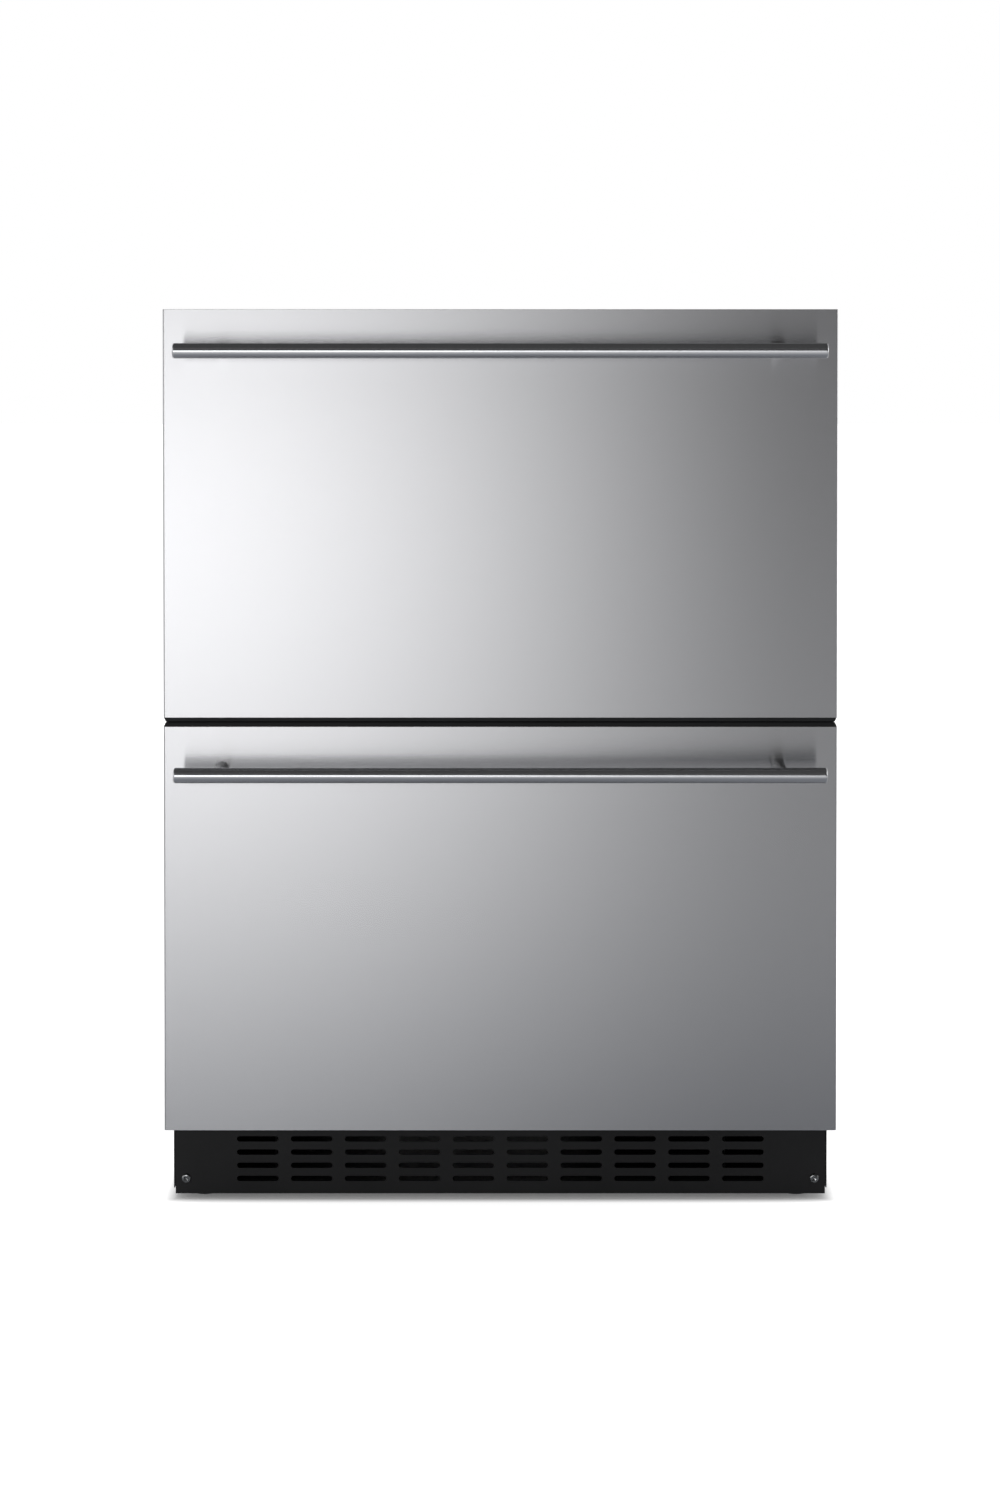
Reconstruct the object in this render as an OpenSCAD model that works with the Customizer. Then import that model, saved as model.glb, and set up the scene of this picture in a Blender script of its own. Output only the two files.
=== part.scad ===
// Undercounter drawer refrigerator: two insulated drawers with bar handles in one foamed cabinet.
// Millimetres. X to the right, the drawer fronts face -Y, Z up. The origin is on the floor, at the
// centre of the whole machine's footprint, handles included.

/* [Overall] */
// Height from the floor to the top edge of the upper drawer front
unit_h = 812; // [806:1:830]
// Depth from the front of the handles to the screw heads on the rear
unit_d = 650; // [640:1:690]
// Width of the drawer fronts
front_w = 600; // [598:1:606]
// Width of the cabinet behind the drawer fronts
cabinet_w = 597; // [594:1:598]

/* [Drawer fronts] */
// Height of the upper drawer front
upper_front_h = 363.5; // [360:0.5:370]
// Height of the lower drawer front
lower_front_h = 361.5; // [358:0.5:368]
// Gap between the two drawer fronts
front_gap = 8; // [6:0.5:10]
// Thickness of an insulated drawer front
front_t = 50; // [46:1:54]
// Depth of the folded sides of the steel skin
skin_return = 29; // [24:1:32]
// Outside radius of the skin's folded edges
skin_bend = 2; // [1.5:0.5:3]
// Height of the gasket between a drawer front and the cabinet
gasket_t = 10; // [9:1:12]

/* [Handles] */
// Diameter of the handle bars
bar_d = 13.5; // [12:0.5:16]
// Length of the handle bars
bar_l = 572; // [540:1:590]
// Distance from a drawer face to the centre of its bar
bar_reach = 45.5; // [40:0.5:50]
// Distance from the top edge of a drawer front down to the centre of its bar
bar_drop = 37; // [30:1:60]
// Diameter of the handle posts
post_d = 12; // [10:0.5:13]
// Distance between the two posts of a bar
post_pitch = 496; // [440:1:520]

/* [Cabinet] */
// Thickness of the insulated side walls and ceiling
wall_t = 38; // [36:1:40]
// Height of the rail between the two drawer openings
mullion_h = 36; // [32:1:40]
// Height of the machine compartment's ceiling at the rear
machine_h = 257; // [250:1:260]
// Depth of the machine compartment
machine_d = 190; // [186:1:194]

/* [Drawers] */
// Travel of a drawer from shut to fully open, which is also the length of its slides
drawer_travel = 400; // [340:10:400]
// Inside depth, front to rear, of the upper bin
upper_bin_d = 386; // [360:1:388]
// Inside depth, front to rear, of the lower bin
lower_bin_d = 272; // [240:1:274]
// Height of a bin's walls
bin_h = 240; // [200:1:248]
// Travel of a push-button
button_travel = 1; // [0.5:0.1:1.5]

/* [Toe kick] */
// Height of the toe-kick plate
toe_h = 71; // [66:1:72]
// Length of a slot in the toe kick
slot_l = 38; // [30:1:40]
// Height of a slot in the toe kick
slot_h = 5; // [4:0.5:8]
// Spacing of the slot columns
slot_pitch_x = 49.27; // [46:0.01:50]
// Spacing of the slot rows
slot_pitch_z = 12.13; // [11:0.01:12.5]

/* [Hidden] */
$fn = 48;
sliver = 0.1;     // how far a cut or a fused piece reaches past a face
sheet_t = 1;      // steel sheet of the cabinet and skins
liner_t = 1.5;    // formed plastic of the liner and inner panels
fit_gap = 0.05;   // radial running clearance of a shaft

// Planes of the whole machine
y_handle = -unit_d / 2;
y_face = y_handle + bar_reach + bar_d / 2;
y_inner = y_face + front_t;
y_cab = y_inner + gasket_t;
head_h = 2;
y_back = unit_d / 2 - head_h;
x_cab = cabinet_w / 2;
x_face = front_w / 2;
x_liner = x_cab - wall_t;
cab_top = unit_h - 2;
z_ceiling = cab_top - wall_t;
z_upper0 = unit_h - upper_front_h;
z_lower1 = z_upper0 - front_gap;
z_lower0 = z_lower1 - lower_front_h;
sill_h = 37;      // from the lower edge of the lower front to the floor of its opening
z_floor = z_lower0 + sill_h;
z_mullion = (z_upper0 + z_lower1) / 2;
z_sides = 10;     // underside of the side panels
z_pan = 14;       // underside of the base pan
y_step = y_back - machine_d;
foam_t = 36;      // foam over the machine compartment
hump_y = y_step - foam_t;
hump_z = machine_h + foam_t + 3;
rear_wall_t = 40; // insulated rear wall
y_liner = y_back - rear_wall_t;
flange_w = 32.5;  // width of the steel front flanges
plug_d = 14;      // how far a front's inner panel reaches into its opening
y_plug = y_inner + plug_d;
plug_gap = 5.5;   // between that plug and the sides of the opening

steel = "silver";
black_paint = "#1c1d1f";
white_plastic = "#eceff0";
grey_plastic = "#c9cdd0";

// A box between two opposite corners
module box(low, high) {
    translate(low) cube(high - low);
}

// The outline in X and Z, carried from y0 to y1
module along_y(y0, y1) {
    translate([0, y1, 0]) rotate([90, 0, 0]) linear_extrude(y1 - y0) children();
}

// The outline in Y and Z, carried from x0 to x1
module along_x(x0, x1) {
    translate([x0, 0, 0]) rotate([90, 0, 90]) linear_extrude(x1 - x0) children();
}

// The same piece on the right and on the left
module both_sides() {
    children();
    mirror([1, 0, 0]) children();
}

// A rectangle between two corners, with its corners rounded to radius r
module rounded(low, high, r) {
    translate([low[0] + r, low[1]]) square([high[0] - low[0] - 2 * r, high[1] - low[1]]);
    translate([low[0], low[1] + r]) square([high[0] - low[0], high[1] - low[1] - 2 * r]);
    for (x = [low[0] + r, high[0] - r], y = [low[1] + r, high[1] - r])
        translate([x, y]) circle(r);
}

// A slot with round ends, lying along the first axis
module slot(length, height) {
    square([length - height, height], center = true);
    for (side = [-1, 1])
        translate([side * (length - height) / 2, 0]) circle(height / 2, $fn = 24);
}

// A straight tube or rod from one point to another, with a round joint at its far end
module rod(from, to, r) {
    span = to - from;
    length = norm(span);
    tilt = acos(span[2] / length);
    turn = atan2(span[1], span[0]);
    translate(from) rotate([0, tilt, turn]) cylinder(h = length, r = r, $fn = 16);
}

// A pipe through a list of points, with a swaged round joint at each bend
module pipe(points, r) {
    joint_r = r * 1.18;
    for (i = [1 : len(points) - 1])
        rod(points[i - 1], points[i], r);
    for (i = [1 : len(points) - 2])
        translate(points[i]) sphere(joint_r, $fn = 20);
}

// ---- Drawer fronts -------------------------------------------------------------------------

// Outline, seen from above, of a panel with its two front edges rounded to radius r
module front_outline(half_w, depth, r) {
    translate([-half_w, r]) square([2 * half_w, depth - r]);
    translate([r - half_w, 0]) square([2 * (half_w - r), r + sliver]);
    for (side = [-1, 1])
        translate([side * (half_w - r), r]) circle(r);
}

hem = 7;             // width of the hems behind the folded sides of a skin
stud_hole_d = 5.4;   // holes for the studs of the handle posts

// Stainless skin: a flat face folded back at both sides, with a hem turned in behind
module front_skin(z0, z1) {
    color(steel) difference() {
        union() {
            translate([0, y_face, z0]) linear_extrude(z1 - z0) difference() {
                front_outline(x_face, skin_return, skin_bend);
                translate([0, sheet_t])
                    front_outline(x_face - sheet_t, skin_return, skin_bend - sheet_t);
            }
            both_sides() box([x_face - hem, y_face + skin_return - sheet_t, z0],
                [x_face - sheet_t / 2, y_face + skin_return, z1]);
        }
        for (side = [-1, 1])
            translate([side * post_pitch / 2, y_face - sliver, z1 - bar_drop])
                rotate([-90, 0, 0]) cylinder(h = sheet_t + 2 * sliver, d = stud_hole_d);
    }
}

cap_t = 3;        // thickness of the end caps
panel_inset = 1;  // the inner panel stands this far inside the front's top and bottom
x_panel = x_cab - 0.5;

// Outline, seen from above, of the space between the skin and the inner panel
module core_outline() {
    translate([0, y_face + sheet_t])
        front_outline(x_face - sheet_t, skin_return - 2 * sheet_t, skin_bend - sheet_t);
    translate([-(x_face - hem), y_face + skin_return - sheet_t - sliver])
        square([front_w - 2 * hem, sheet_t + 2 * sliver]);
    translate([-(x_panel - liner_t), y_face + skin_return])
        square([2 * (x_panel - liner_t), front_t - skin_return - liner_t]);
}

// Where the plug of an inner panel lies, low and high in X and Z, for an opening
function plug_low(z0) = [plug_gap - x_liner, z0 + plug_gap];
function plug_high(z1) = [x_liner - plug_gap, z1 - plug_gap];
plug_r = 18;

module front_foam(z0, z1, open0, open1) {
    stud_hole_l = 14;
    color("#e6d9a8") difference() {
        union() {
            translate([0, 0, z0 + cap_t]) linear_extrude(z1 - z0 - 2 * cap_t) core_outline();
            along_y(y_inner - liner_t - sliver, y_plug - liner_t)
                rounded(plug_low(open0) + [liner_t, liner_t], plug_high(open1) - [liner_t, liner_t],
                    plug_r - liner_t);
        }
        for (side = [-1, 1])
            translate([side * post_pitch / 2, y_face, z1 - bar_drop])
                rotate([-90, 0, 0]) cylinder(h = stud_hole_l, d = stud_hole_d);
    }
}

// Formed inner panel: side walls, a flat rim for the gasket and a plug that fills the opening
module inner_panel(z0, z1, open0, open1) {
    low = z0 + panel_inset;
    high = z1 - panel_inset;
    color(white_plastic) difference() {
        union() {
            difference() {
                box([-x_panel, y_face + skin_return, low], [x_panel, y_inner, high]);
                box([liner_t - x_panel, y_face + skin_return - sliver, low - sliver],
                    [x_panel - liner_t, y_inner - liner_t, high + sliver]);
            }
            along_y(y_inner - liner_t, y_plug)
                rounded(plug_low(open0), plug_high(open1), plug_r);
        }
        along_y(y_inner - liner_t - sliver, y_plug - liner_t)
            rounded(plug_low(open0) + [liner_t, liner_t], plug_high(open1) - [liner_t, liner_t],
                plug_r - liner_t);
    }
}

// Moulded caps that close the front above and below, with a shallow drain groove in each
module end_caps(z0, z1) {
    groove_w = 6;
    groove_h = 1;
    groove_y = y_face + skin_return + groove_w;
    color(black_paint) for (z = [z0, z1 - cap_t])
        difference() {
            translate([0, 0, z]) linear_extrude(cap_t) core_outline();
            z_cut = z == z0 ? z0 - sliver : z1 - groove_h;
            box([-x_panel, groove_y, z_cut], [x_panel, groove_y + groove_w, z_cut + groove_h + sliver]);
        }
}

// Bellows gasket: a base strip, a narrow neck and a magnetic head, all round the opening
module gasket(z0, z1, open0, open1) {
    strip_w = 16;
    neck_w = 8;
    base_t = 3;
    head_t = 3.5;
    clear = 0.3;
    overlap = 3.5;
    margin = 2;
    low = [-x_liner - overlap - strip_w, open0 - overlap - strip_w];
    high = [x_liner + overlap + strip_w, open1 + overlap + strip_w];
    low_z = max(low[1], z0 + margin);
    high_z = min(high[1], z1 - margin);
    color("#55585a") for (layer = [
        [0, base_t, strip_w],
        [base_t - sliver, gasket_t - clear - head_t + sliver, neck_w],
        [gasket_t - clear - head_t, gasket_t - clear, strip_w]
    ])
        along_y(y_inner + layer[0], y_inner + layer[1]) difference() {
            inset = (strip_w - layer[2]) / 2;
            rounded([low[0] + inset, low_z + inset], [high[0] - inset, high_z - inset], plug_r - inset);
            rounded([low[0] + strip_w - inset, low_z + strip_w - inset],
                [high[0] - strip_w + inset, high_z - strip_w + inset], inset + margin);
        }
}

// Handle bar with its end edges rounded
module handle_bar(z1) {
    edge = 0.8;
    color(steel) translate([-bar_l / 2, y_face - bar_reach, z1 - bar_drop]) rotate([0, 90, 0])
        rotate_extrude() {
            translate([0, edge]) square([bar_d / 2, bar_l - 2 * edge]);
            square([bar_d / 2 - edge, bar_l]);
            for (end = [edge, bar_l - edge])
                translate([bar_d / 2 - edge, end]) intersection() {
                    circle(edge);
                    translate([0, -edge]) square([edge, 2 * edge]);
                }
        }
}

// Two posts, saddled to the bar, with a stud through the skin and a flange nut behind it
module handle_posts(z1) {
    stud_d = 5;
    stud_l = 13;
    color(steel) for (side = [-1, 1])
        difference() {
            translate([side * post_pitch / 2, 0, z1 - bar_drop]) rotate([-90, 0, 0]) {
                translate([0, 0, y_face - bar_reach]) cylinder(h = bar_reach, d = post_d);
                translate([0, 0, y_face - sliver]) cylinder(h = stud_l + sliver, d = stud_d);
            }
            translate([-bar_l / 2, y_face - bar_reach, z1 - bar_drop])
                rotate([0, 90, 0]) cylinder(h = bar_l, d = bar_d);
        }
}

// ---- Bins, dividers and the rails that carry them ------------------------------------------

slide_t = 12.7;                        // thickness of a telescopic slide
rail_t = 2;                            // sheet of the bin rails
x_rail = x_liner - slide_t - rail_t;   // inner face of a rail
bin_wall = 3;
rim_t = 3;
rim_out = 10;
bead_h = 3;                            // upstand round the mouth of a bin
rim_lap = 0.2;                         // how far a bin's rim lies over the webs of its rails
x_bin = x_rail + rim_lap - rim_out;    // outside of a bin's side walls
bin_r = 24;
y_bin = y_plug + 13;                   // outside of a bin's front wall
upper_bin_z = z_mullion + mullion_h / 2 + 16;
lower_bin_z = z_floor + 14;
upper_slide_z = upper_bin_z + 124;     // middle of the upper slides
lower_slide_z = hump_z + 29;           // middle of the lower slides, clear over the step

// Moulded bin: a rounded tub with a rim, raised floor ribs and air slots high in its rear wall
module bin(z0, inside_d) {
    y1 = y_bin + inside_d + 2 * bin_wall;
    rib_w = 5;
    rib_h = 2;
    rib_pitch = 44;
    rib_end = 20;
    vent_l = 44;
    vent_h = 5;
    vent_pitch = 58;
    vent_row = 16;
    color(grey_plastic) difference() {
        union() {
            translate([0, 0, z0]) linear_extrude(bin_h) rounded([-x_bin, y_bin], [x_bin, y1], bin_r);
            translate([0, 0, z0 + bin_h - rim_t]) linear_extrude(rim_t)
                rounded([-x_bin - rim_out, y_bin - rim_out], [x_bin + rim_out, y1 + rim_out], bin_r);
            translate([0, 0, z0 + bin_h - sliver]) linear_extrude(bead_h + sliver)
                rounded([-x_bin, y_bin], [x_bin, y1], bin_r);
        }
        difference() {
            translate([0, 0, z0 + bin_wall]) linear_extrude(bin_h + bead_h)
                rounded([bin_wall - x_bin, y_bin + bin_wall], [x_bin - bin_wall, y1 - bin_wall],
                    bin_r - bin_wall);
            for (i = [-5 : 5])
                box([i * rib_pitch - rib_w / 2, y_bin + rib_end, z0],
                    [i * rib_pitch + rib_w / 2, y1 - rib_end, z0 + bin_wall + rib_h]);
        }
        along_y(y1 - bin_wall - sliver, y1 + sliver)
            for (i = [-3 : 3], row = [1 : 2])
                translate([i * vent_pitch, z0 + bin_h - row * vent_row]) slot(vent_l, vent_h);
    }
}

// Divider across a bin, hooked over the front and rear rims so that it slides along them
module divider(z0, inside_d) {
    thick = 3;
    gap = 0.6;
    hook_t = 1.6;
    hook_drop = 7;
    grip_l = 90;
    grip_h = 16;
    front = y_bin - rim_out - gap - hook_t;
    rear = y_bin + inside_d + 2 * bin_wall + rim_out + gap + hook_t;
    y0 = y_bin + bin_wall + gap;
    y1 = y_bin + inside_d + bin_wall - gap;
    rim_top = z0 + bin_h + bead_h;
    floor_gap = 4;
    mid = (y0 + y1) / 2;
    half_foot = 10;
    color("#dfe6ea") {
        difference() {
            along_x(-thick / 2, thick / 2)
                rounded([y0, z0 + bin_wall + floor_gap], [y1, rim_top + gap + hook_t], thick);
            along_x(-thick, thick) translate([mid, rim_top - 2 * grip_h]) slot(grip_l, grip_h);
        }
        for (end = [[front, y0 + half_foot], [y1 - half_foot, rear]])
            box([-half_foot, end[0], rim_top + gap], [half_foot, end[1], rim_top + gap + hook_t]);
        for (y = [front, rear - hook_t])
            box([-half_foot, y, rim_top - hook_drop], [half_foot, y + hook_t, rim_top + gap + hook_t]);
    }
}

// Folded side rails: a tall web, a ledge under the bin's rim and a flange on the drawer front
module bin_rails(z0, slide_z) {
    top = z0 + bin_h - rim_t;
    bottom = slide_z - 20;
    length = slide_l + 2;
    ledge_x = x_bin + 1;
    flange = 34;
    lightening_l = 70;
    lightening_h = 22;
    holes = 4;
    hole_pitch = length / (holes + 0.5);
    web_h = top - bottom;
    color(steel) both_sides() difference() {
        union() {
            box([x_rail, y_plug, bottom], [x_rail + rail_t, y_plug + length, top]);
            box([ledge_x, y_plug, top - rail_t], [x_rail + rail_t, y_plug + length, top]);
            box([x_rail - flange, y_plug, bottom], [x_rail + rail_t, y_plug + rail_t, top]);
        }
        if (web_h > 3 * lightening_h)
            along_x(x_rail - sliver, x_rail + rail_t + sliver)
                for (i = [0 : holes - 1])
                    translate([y_plug + (i + 0.75) * hole_pitch, top - web_h / 3])
                        slot(lightening_l, lightening_h);
    }
}

// ---- Telescopic slides: three members with balls between them ------------------------------

slide_l = drawer_travel;
slide_h = 45;
slide_sheet = 1.2;
y_slide = y_plug + 2;
outer_ball_r = 2.1;
inner_ball_r = 1.75;
mid_h = 33.8;       // height of the middle member
mid_web = 6.2;      // from the wall to the web of the middle member
inner_h = 24.2;     // height of the inner member
screw_hole_l = 9;
screw_hole_h = 5;

// A slide section is drawn with its first axis from the liner wall inwards, its second upwards
module on_the_wall(slide_z, start = 0) {
    both_sides() translate([x_liner, y_slide + start, slide_z]) mirror([1, 0, 0]) children();
}

// The section, carried along the whole slide
module slide_run() {
    rotate([90, 0, 0]) mirror([0, 0, 1]) linear_extrude(slide_l) children();
}

// Screw slots through the web, from one side of the sheet to the other
module web_slots(at) {
    holes = 4;
    from_end = 40;
    for (i = [0 : holes - 1])
        translate([at, from_end + i * (slide_l - 2 * from_end) / (holes - 1), 0]) rotate([90, 0, 90])
            linear_extrude(slide_sheet + 2 * sliver) slot(screw_hole_l, screw_hole_h);
}

// Cabinet member: a channel whose lips turn in over the outer row of balls
module slide_outer(slide_z) {
    reach = 7;
    lip = 3.2;
    half = slide_h / 2;
    color(steel) on_the_wall(slide_z) difference() {
        slide_run() {
            translate([0, -half]) square([slide_sheet, slide_h]);
            for (side = [0, 1]) mirror([0, side]) {
                translate([0, half - slide_sheet]) square([reach, slide_sheet]);
                translate([reach - slide_sheet, half - lip]) square([slide_sheet, lip]);
            }
        }
        web_slots(-sliver);
    }
}

// A row of balls in their retainer strip, along the slide
module ball_row(at, height, ball_r, y0) {
    count = 8;
    pitch = 23;
    strip_t = 0.8;
    strip_w = 2 * ball_r - 0.6;
    for (i = [0 : count - 1])
        translate([at, y0 + i * pitch, height]) sphere(ball_r, $fn = 16);
    box([at - strip_w / 2, y0 - pitch / 3, height - strip_t / 2],
        [at + strip_w / 2, y0 + (count - 1) * pitch + pitch / 3, height + strip_t / 2]);
}

// Middle member: one web with raceways on both sides, and the balls that it carries along
module slide_middle(slide_z) {
    half = mid_h / 2;
    wall_side = 1.8;
    drawer_side = 12.2;
    lip_t = 0.8;
    lip = 3.5;
    seat = 0.1;
    outer_at = 3.5;
    inner_at = 9.4;
    rear_start = slide_l / 2 + 14;
    front_start = 14;
    color(steel) on_the_wall(slide_z) {
        slide_run() {
            translate([mid_web, -half]) square([slide_sheet, mid_h]);
            for (side = [0, 1]) mirror([0, side]) {
                translate([wall_side, half - slide_sheet]) square([drawer_side - wall_side, slide_sheet]);
                translate([drawer_side - lip_t, half - lip]) square([lip_t, lip]);
            }
        }
        for (side = [0, 1]) mirror([0, 0, side]) {
            ball_row(outer_at, half + outer_ball_r - seat, outer_ball_r, rear_start);
            ball_row(inner_at, half - slide_sheet - inner_ball_r + seat, inner_ball_r, front_start);
        }
    }
}

// Drawer member: a narrow channel screwed to the bin rail
module slide_inner(slide_z) {
    half = inner_h / 2;
    inner_start = 8;
    color(steel) on_the_wall(slide_z) difference() {
        slide_run() {
            translate([slide_t - slide_sheet, -half]) square([slide_sheet, inner_h]);
            for (side = [0, 1]) mirror([0, side])
                translate([inner_start, half - slide_sheet]) square([slide_t - inner_start, slide_sheet]);
        }
        web_slots(slide_t - slide_sheet - sliver);
    }
}

// ---- Cabinet shell -------------------------------------------------------------------------

// Side panel with its front flange and a rear flange behind the rear panel
module side_panel() {
    rear_flange = 14;
    top = cab_top - sheet_t;
    color(black_paint) {
        box([x_cab - sheet_t, y_cab, z_sides], [x_cab, y_back, top]);
        box([x_cab - flange_w, y_cab, z_lower0], [x_cab, y_cab + sheet_t, top]);
        box([x_cab - rear_flange, y_back - 2 * sheet_t, z_sides], [x_cab, y_back - sheet_t, top]);
    }
}

module left_side_panel() {
    mirror([1, 0, 0]) side_panel();
}

module right_side_panel() {
    side_panel();
}

// Top panel, folded down in front between the side flanges
module top_panel() {
    lip = wall_t - 6;
    color(black_paint) {
        box([-x_cab, y_cab, cab_top - sheet_t], [x_cab, y_back, cab_top]);
        box([flange_w - x_cab, y_cab, cab_top - lip], [x_cab - flange_w, y_cab + sheet_t, cab_top]);
    }
}

rear_screw_x = x_cab - 9;
cover_top = machine_h + 6;             // seam between the machine cover and the rear panel
panel_screw_rows = [machine_h + 40, 530, cab_top - 24];
cover_screw_rows = [34, 130, machine_h - 20];
screw_d = 4.2;
screw_shank = 0.9;

// Holes through a rear sheet for its screws
module rear_holes(rows) {
    along_y(y_back - 2 * sheet_t, y_back + sliver)
        for (side = [-1, 1], z = rows)
            translate([side * rear_screw_x, z]) circle(d = screw_d + 2 * fit_gap, $fn = 24);
}

// Rear panel over the foam, with three shallow pressed stiffening ribs
module rear_panel() {
    rib_l = 380;
    rib_h = 14;
    rib_t = 0.8;
    rib_pitch = 135;
    inner = 4;
    color("#8d9194") difference() {
        union() {
            box([sheet_t - x_cab, y_back - sheet_t, cover_top],
                [x_cab - sheet_t, y_back, cab_top - sheet_t]);
            along_y(y_back - sliver, y_back + rib_t)
                for (row = [1 : 3])
                    translate([0, machine_h + row * rib_pitch]) slot(rib_l, rib_h);
        }
        along_y(y_back - 2 * sheet_t, y_back - sheet_t + rib_t)
            for (row = [1 : 3])
                translate([0, machine_h + row * rib_pitch]) slot(rib_l - inner, rib_h - inner);
        rear_holes(panel_screw_rows);
    }
}

gland_x = -236;
gland_z = 58;
gland_hole_d = 16;

// Slotted cover over the machine compartment
module machine_cover() {
    vent_l = 60;
    vent_h = 5;
    columns = 6;
    rows = 9;
    pitch_x = 72;
    pitch_z = 15;
    first_row = 96;
    color(black_paint) difference() {
        box([sheet_t - x_cab, y_back - sheet_t, z_pan], [x_cab - sheet_t, y_back, cover_top]);
        along_y(y_back - 2 * sheet_t, y_back + sliver) {
            for (i = [0 : columns - 1], j = [0 : rows - 1])
                translate([(i - (columns - 1) / 2) * pitch_x, first_row + j * pitch_z])
                    slot(vent_l, vent_h);
            translate([gland_x, gland_z]) circle(d = gland_hole_d);
        }
        rear_holes(cover_screw_rows);
    }
}

toe_t = 1.2;      // sheet of the toe kick
foot_x = 272;
foot_rows = [y_cab + 30, y_back - 30];
stem_d = 10;
nut_h = 8;
pan_t = 1.5;

// Pressed base pan with side and rear lips, welded nuts for the feet and tabs for the toe kick
module base_pan() {
    side = x_cab - sheet_t;
    lip = 24;
    nut_d = 19;
    tab_w = 24;
    tab_h = 46;
    duct_t = 1.2;
    duct_x = 206;
    duct_h = 40;
    duct_from = 20;
    duct_to = y_step - 4;
    front = y_cab + toe_t + 0.2;
    color("#3a3d40") difference() {
        union() {
            box([-side, front, z_pan], [side, y_back - 2 * sheet_t, z_pan + pan_t]);
            both_sides() box([side - pan_t, front, z_pan], [side, y_back - 2 * sheet_t, z_pan + lip]);
            both_sides() box([side - tab_w, front, z_pan], [side, front + pan_t, z_pan + tab_h]);
            both_sides() box([duct_x, front + duct_from, z_pan],
                [duct_x + duct_t, duct_to, z_pan + duct_h]);
            for (x = [-foot_x, foot_x], y = foot_rows)
                translate([x, y, z_pan + pan_t - sliver]) cylinder(h = nut_h, d = nut_d, $fn = 6);
        }
        for (x = [-foot_x, foot_x], y = foot_rows)
            translate([x, y, z_pan - sliver])
                cylinder(h = nut_h + pan_t + 2 * sliver, d = stem_d + 2 * fit_gap);
    }
}

floor_t = 1.2;

// Stepped floor sheet: under the cabinet's foam, and over the machine compartment
module floor_plate() {
    side = x_cab - sheet_t;
    rear = y_back - 2 * sheet_t;
    color("#8d9194") difference() {
        union() {
            box([-side, y_cab + sheet_t, z_lower0 - floor_t], [side, y_step, z_lower0]);
            box([-side, y_step - floor_t, z_lower0 - floor_t], [side, y_step, machine_h]);
            box([-side, y_step - floor_t, machine_h - floor_t], [side, rear, machine_h]);
        }
        line_chases(chase_r);
    }
}

liner_r = 18;     // vertical corners of the liner and its opening

// The inside of the liner as a solid, grown by a given wall
module cavity(grow) {
    low = [-x_liner - grow, z_floor - grow];
    high = [x_liner + grow, z_ceiling + grow];
    difference() {
        along_y(y_cab - (grow > 0 ? 0 : sliver), y_liner + grow)
            rounded(low, high, liner_r + grow);
        box([-x_cab, hump_y + grow, z_floor - 2 * liner_t],
            [x_cab, y_back, hump_z - grow]);
    }
}

chase_r = 4.5;    // half-width of the channels for the refrigerant lines
sill_fold = 12;   // depth of the fold under the sill

// Foam between the outer sheets and the liner, in one piece
module cabinet_foam() {
    side = x_cab - sheet_t;
    front = y_cab + liner_t;
    rear = y_back - 2 * sheet_t;
    color("#e6d9a8") difference() {
        box([-side, front, z_lower0], [side, rear, cab_top - sheet_t]);
        box([-x_cab, y_step - floor_t, 0], [x_cab, y_back, machine_h]);
        box([-x_cab, y_cab, z_lower0 - sliver], [x_cab, y_cab + sill_fold, z_lower0 + sheet_t]);
        intersection() {
            cavity(liner_t);
            box([-x_cab, front - sliver, 0], [x_cab, y_back, unit_h]);
        }
        line_chases(chase_r);
    }
}

// Formed white liner with its front flange and the step over the machine compartment
module inner_liner() {
    lip = 4;
    lip_r = 2;
    color(white_plastic) difference() {
        union() {
            cavity(liner_t);
            along_y(y_cab, y_cab + liner_t) difference() {
                rounded([-x_liner - liner_t - lip, z_floor - liner_t - lip],
                    [x_liner + liner_t + lip, z_ceiling + liner_t + lip], lip_r);
                rounded([-x_liner, z_floor], [x_liner, z_ceiling], liner_r);
            }
        }
        cavity(0);
        line_chases(chase_r);
    }
}

// Steel rails across the cabinet front: the boxed rail between the drawers and the sill
module cross_rails() {
    depth = 38;
    t = 1.2;
    half = mullion_h / 2;
    lip = 6;
    color(black_paint) {
        difference() {
            box([-x_liner, y_cab, z_mullion - half], [x_liner, y_cab + depth, z_mullion + half]);
            box([-x_liner - sliver, y_cab + t, z_mullion - half + t],
                [x_liner + sliver, y_cab + depth - t, z_mullion + half - t]);
        }
        box([flange_w - x_cab, y_cab, z_lower0], [x_cab - flange_w, y_cab + sheet_t, z_floor - lip]);
        box([flange_w - x_cab, y_cab, z_lower0],
            [x_cab - flange_w, y_cab + sill_fold, z_lower0 + sheet_t]);
    }
}

// ---- Toe kick and fasteners ----------------------------------------------------------------

toe_z = 5;
toe_side = 1.7;
toe_screw_x = 287;
toe_screw_z = 19;
toe_rows = 4;
toe_columns = 10;
toe_first_row = 18.7;

// Perforated toe-kick plate: four rows of slots with round ends, and a stiffening fold behind
module toe_kick_grille() {
    half = x_cab - toe_side;
    fold = 12;
    inset = 30;
    hole_d = 4.4;
    color(black_paint) difference() {
        union() {
            box([-half, y_cab, toe_z], [half, y_cab + toe_t, toe_z + toe_h]);
            box([inset - half, y_cab, toe_z + toe_h - toe_t], [half - inset, y_cab + fold, toe_z + toe_h]);
        }
        along_y(y_cab - sliver, y_cab + toe_t + sliver) {
            for (i = [0 : toe_columns - 1], j = [0 : toe_rows - 1])
                translate([(i - (toe_columns - 1) / 2) * slot_pitch_x, toe_first_row + j * slot_pitch_z])
                    slot(slot_l, slot_h);
            for (side = [-1, 1])
                translate([side * toe_screw_x, toe_screw_z]) circle(d = hole_d);
        }
    }
}

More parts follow.
